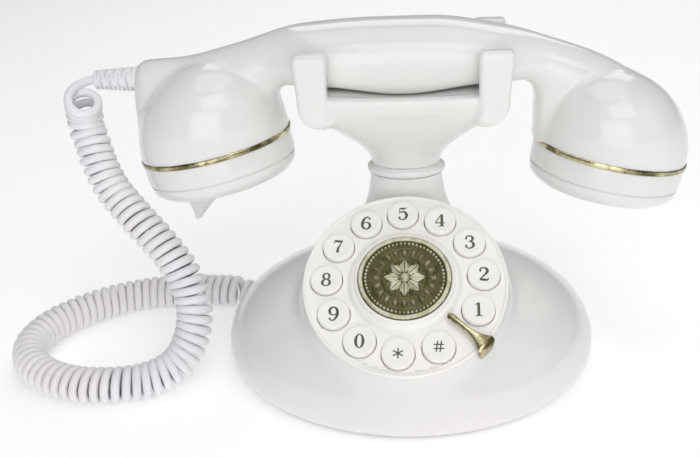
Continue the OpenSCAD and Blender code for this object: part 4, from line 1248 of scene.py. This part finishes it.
def slotted_boot():
    columns = 96
    turn = whole_turn(columns)
    pitch = boot_long / slot_rows
    rows = []
    stations = np.concatenate([[-3.0], np.linspace(0, boot_long - 0.5, 110),
                               [boot_long - 0.2, boot_long]])
    for along in stations:
        plain = boot_r - boot_taper * max(along, 0) / boot_long
        near_end = boot_long - along
        plain -= 0.5 * max(0, 1 - near_end / 0.5) ** 2
        count = int(np.clip(round(along / pitch), 1, slot_rows - 1))
        gap = abs(along - count * pitch)
        slot = ease((0.6 - gap) / 0.3)
        facing = np.cos(turn) if count % 2 else np.sin(turn)
        r = plain - slot_deep * slot * ease((np.abs(facing) - 0.35) / 0.25)
        rows.append(np.stack([np.full(columns, -along), r * np.sin(turn), r * np.cos(turn)],
                             axis=1))
    points = np.concatenate(rows) + boot_middle
    boot = make_mesh("slotted_boot", points, closed_tube(len(rows), columns), vinyl)
    boot.data.set_sharp_from_angle(angle=math.radians(45))
    return boot


vinyl = cord_vinyl()
boot = slotted_boot()
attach(boot, "handset")
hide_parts("strain_relief")


# ---- Inner pieces and small hardware ----
# The boards, weights, jacks, switch, screws and feet keep their own solids,
# each with the finish of its own material.
def plain_finish(name, dark, light, scale, rough, **numbers):
    finish = Finish(name, **numbers)
    cloud = finish.noise(scale, 4.0, 0.6)
    finish.set("Base Color", finish.mix(cloud.ramp(0.3, 0.7), dark, light))
    finish.set("Roughness", cloud.ramp(0.3, 0.7, rough - 0.06, rough + 0.08))
    finish.set("Normal", finish.bump(finish.noise(scale * 9, 2.0), 0.00003))
    return finish.material


# Each finish: its dark and light colour, its grain to the metre, its roughness,
# what else its shader needs, and the pieces made of it.
inner_finishes = {
    "plated_steel": ((150, 152, 156), (190, 191, 194), 160.0, 0.3, {"Metallic": 1.0}, [
        "base_screws", "ballast_weight", "keypad_screws", "hook_spring", "hook_lever",
        "board_screws", "ringer_switch", "handset_weight", "handset_screws",
        "microphone_capsule"]),
    "solder_mask": ((20, 74, 44), (34, 98, 58), 70.0, 0.38, {}, ["keypad_board", "main_board"]),
    "dark_plastic": ((28, 28, 30), (44, 44, 46), 120.0, 0.46, {}, [
        "hook_switch", "line_jack", "handset_jack", "ringer_slider", "ear_capsule"]),
    "sounder_brass": ((176, 148, 86), (206, 180, 118), 90.0, 0.3, {"Metallic": 1.0}, [
        "ringer_disc"]),
    "silicone": ((214, 214, 216), (226, 226, 228), 80.0, 0.55, {}, ["keypad_membrane"]),
    "black_rubber": ((34, 34, 36), (52, 52, 54), 200.0, 0.72, {}, ["rubber_feet"]),
    "nylon": ((232, 232, 230), (240, 240, 238), 60.0, 0.3, {}, ["hook_plunger"]),
    "clear_plastic": ((206, 212, 216), (222, 227, 230), 60.0, 0.16, {"Coat_Weight": 0.4}, [
        "modular_plug"])}
finished = [(ivory, ["base_plate", "handset_cover"])]
for name, (dark, light, grain, rough, numbers, nodes) in inner_finishes.items():
    finish = plain_finish(name, shade(*dark), shade(*light), grain, rough, **numbers)
    finished.append((finish, nodes))
for finish, nodes in finished:
    for node in nodes:
        solid = bpy.data.objects[node]
        solid.data.materials.clear()
        solid.data.materials.append(finish)


# ---- Curly cord ----
# A round flexible wire in pale grey-white vinyl, wound into a springy coil
# from the handset to the jack on the left of the base.
wire_thick = 3.8
coil_turn_r = 6.05
coil_pitch = 4.1
points_per_turn = 22
coil_start = np.array([[-135.8, 10.0, 119.2], [-137.4, 13.2, 114.5], [-137.8, 14.0, 110.0]])
coil_from = 6
first_angle = 1.4
plug_lead = 26.0
boot_lead = 14.0
lie_z = 8.5
jack_y = 37.0
jack_z = 10.9
cord_route = np.array([
    [-133.2, 22.0, 124.2],
    [-134.7, 22.0, 124.2],
    [-136.7, 22.0, 124.2],
    [-139.7, 18.5, 122.2],
    [-140.2, 14.5, 116.7],
    [-139.2, 14.5, 111.2],
    [-137.5, 13.0, 105.0],
    [-135.5, 11.0, 99.5],
    [-132.0, 6.5, 90.5],
    [-126.0, 1.5, 80.5],
    [-115.0, -5.0, 70.0],
    [-106.0, -9.0, 61.0],
    [-99.5, -12.0, 53.0],
    [-94.5, -15.0, 44.0],
    [-92.0, -19.0, 33.0],
    [-93.5, -24.0, 22.0],
    [-99.5, -30.0, 12.5],
    [-110.5, -36.0, lie_z],
    [-125.0, -40.5, lie_z],
    [-140.0, -40.5, lie_z],
    [-155.0, -35.5, lie_z],
    [-167.0, -26.0, lie_z],
    [-173.5, -11.0, lie_z],
    [-170.0, 5.0, lie_z],
    [-159.0, 19.0, lie_z],
    [-145.0, 29.0, lie_z],
    [-130.0, 35.0, lie_z],
    [-115.0, 37.5, lie_z],
    [-100.0, 38.0, lie_z],
    [-88.0, 37.5, lie_z],
    [-79.0, jack_y, lie_z + 0.3],
    [-72.0, jack_y, jack_z],
    [-65.0, jack_y, jack_z]])


def through(points, step):
    """A smooth curve through the points, cut into even steps."""
    fine = curve_through(points, 0.05)
    run = np.concatenate([[0], np.cumsum(np.linalg.norm(np.diff(fine, axis=0), axis=1))])
    count = max(2, int(round(run[-1] / step)))
    even = np.linspace(0, run[-1], count + 1)
    return np.stack([np.interp(even, run, fine[:, k]) for k in range(3)], axis=1)


def directions(line):
    along = np.gradient(line, axis=0)
    return along / np.linalg.norm(along, axis=1)[:, None]


def carried_frames(line, first):
    """Two directions across the line at each point, carried on without twist."""
    along = directions(line)
    across = np.empty_like(line)
    side = np.array(first, float)
    for i, d in enumerate(along):
        side = side - d * (side @ d)
        side = side / np.linalg.norm(side)
        across[i] = side
    return along, across, np.cross(along, across)


def swept_tube(line, radius, sides, first):
    """Points and faces of a round tube along the line, closed at both ends."""
    along, across, up = carried_frames(line, first)
    turn = whole_turn(sides)
    rings = (line[:, None, :]
             + radius * np.cos(turn)[None, :, None] * across[:, None, :]
             + radius * np.sin(turn)[None, :, None] * up[:, None, :])
    return rings.reshape(-1, 3), closed_tube(len(line), sides)


def coiled_wire():
    """The wire's own line: a lead from the boot, the coil, and a lead to the plug."""
    spine = through(np.vstack([coil_start, cord_route[coil_from:]]), coil_pitch / points_per_turn)
    along, across, up = carried_frames(spine, (0.35, 0.0, 0.94))
    step = np.linalg.norm(spine[1] - spine[0])
    run = np.arange(len(spine)) * step
    wound = ease((run[-1] - run) / plug_lead)
    reach = coil_turn_r * wound
    angle = first_angle + np.cumsum(wound ** 2) * step * 2 * np.pi / coil_pitch
    coil = (spine + reach[:, None] * (np.cos(angle)[:, None] * across
                                      - np.sin(angle)[:, None] * up))
    start = directions(coil)[0]
    lead = hermite(cord_route[0], coil[0], np.array([-boot_lead, 0, 0]), start * boot_lead,
                   np.linspace(0, 1, 12)[:, None])
    return np.vstack([lead[:-1], coil])


wire_line = coiled_wire()
wire_points, wire_faces = swept_tube(wire_line, wire_thick / 2, 10, (0, 1, 0.2))
curly_cord = make_mesh("curly_cord_coil", wire_points, wire_faces, vinyl)
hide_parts("curly_cord")
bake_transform(curly_cord)
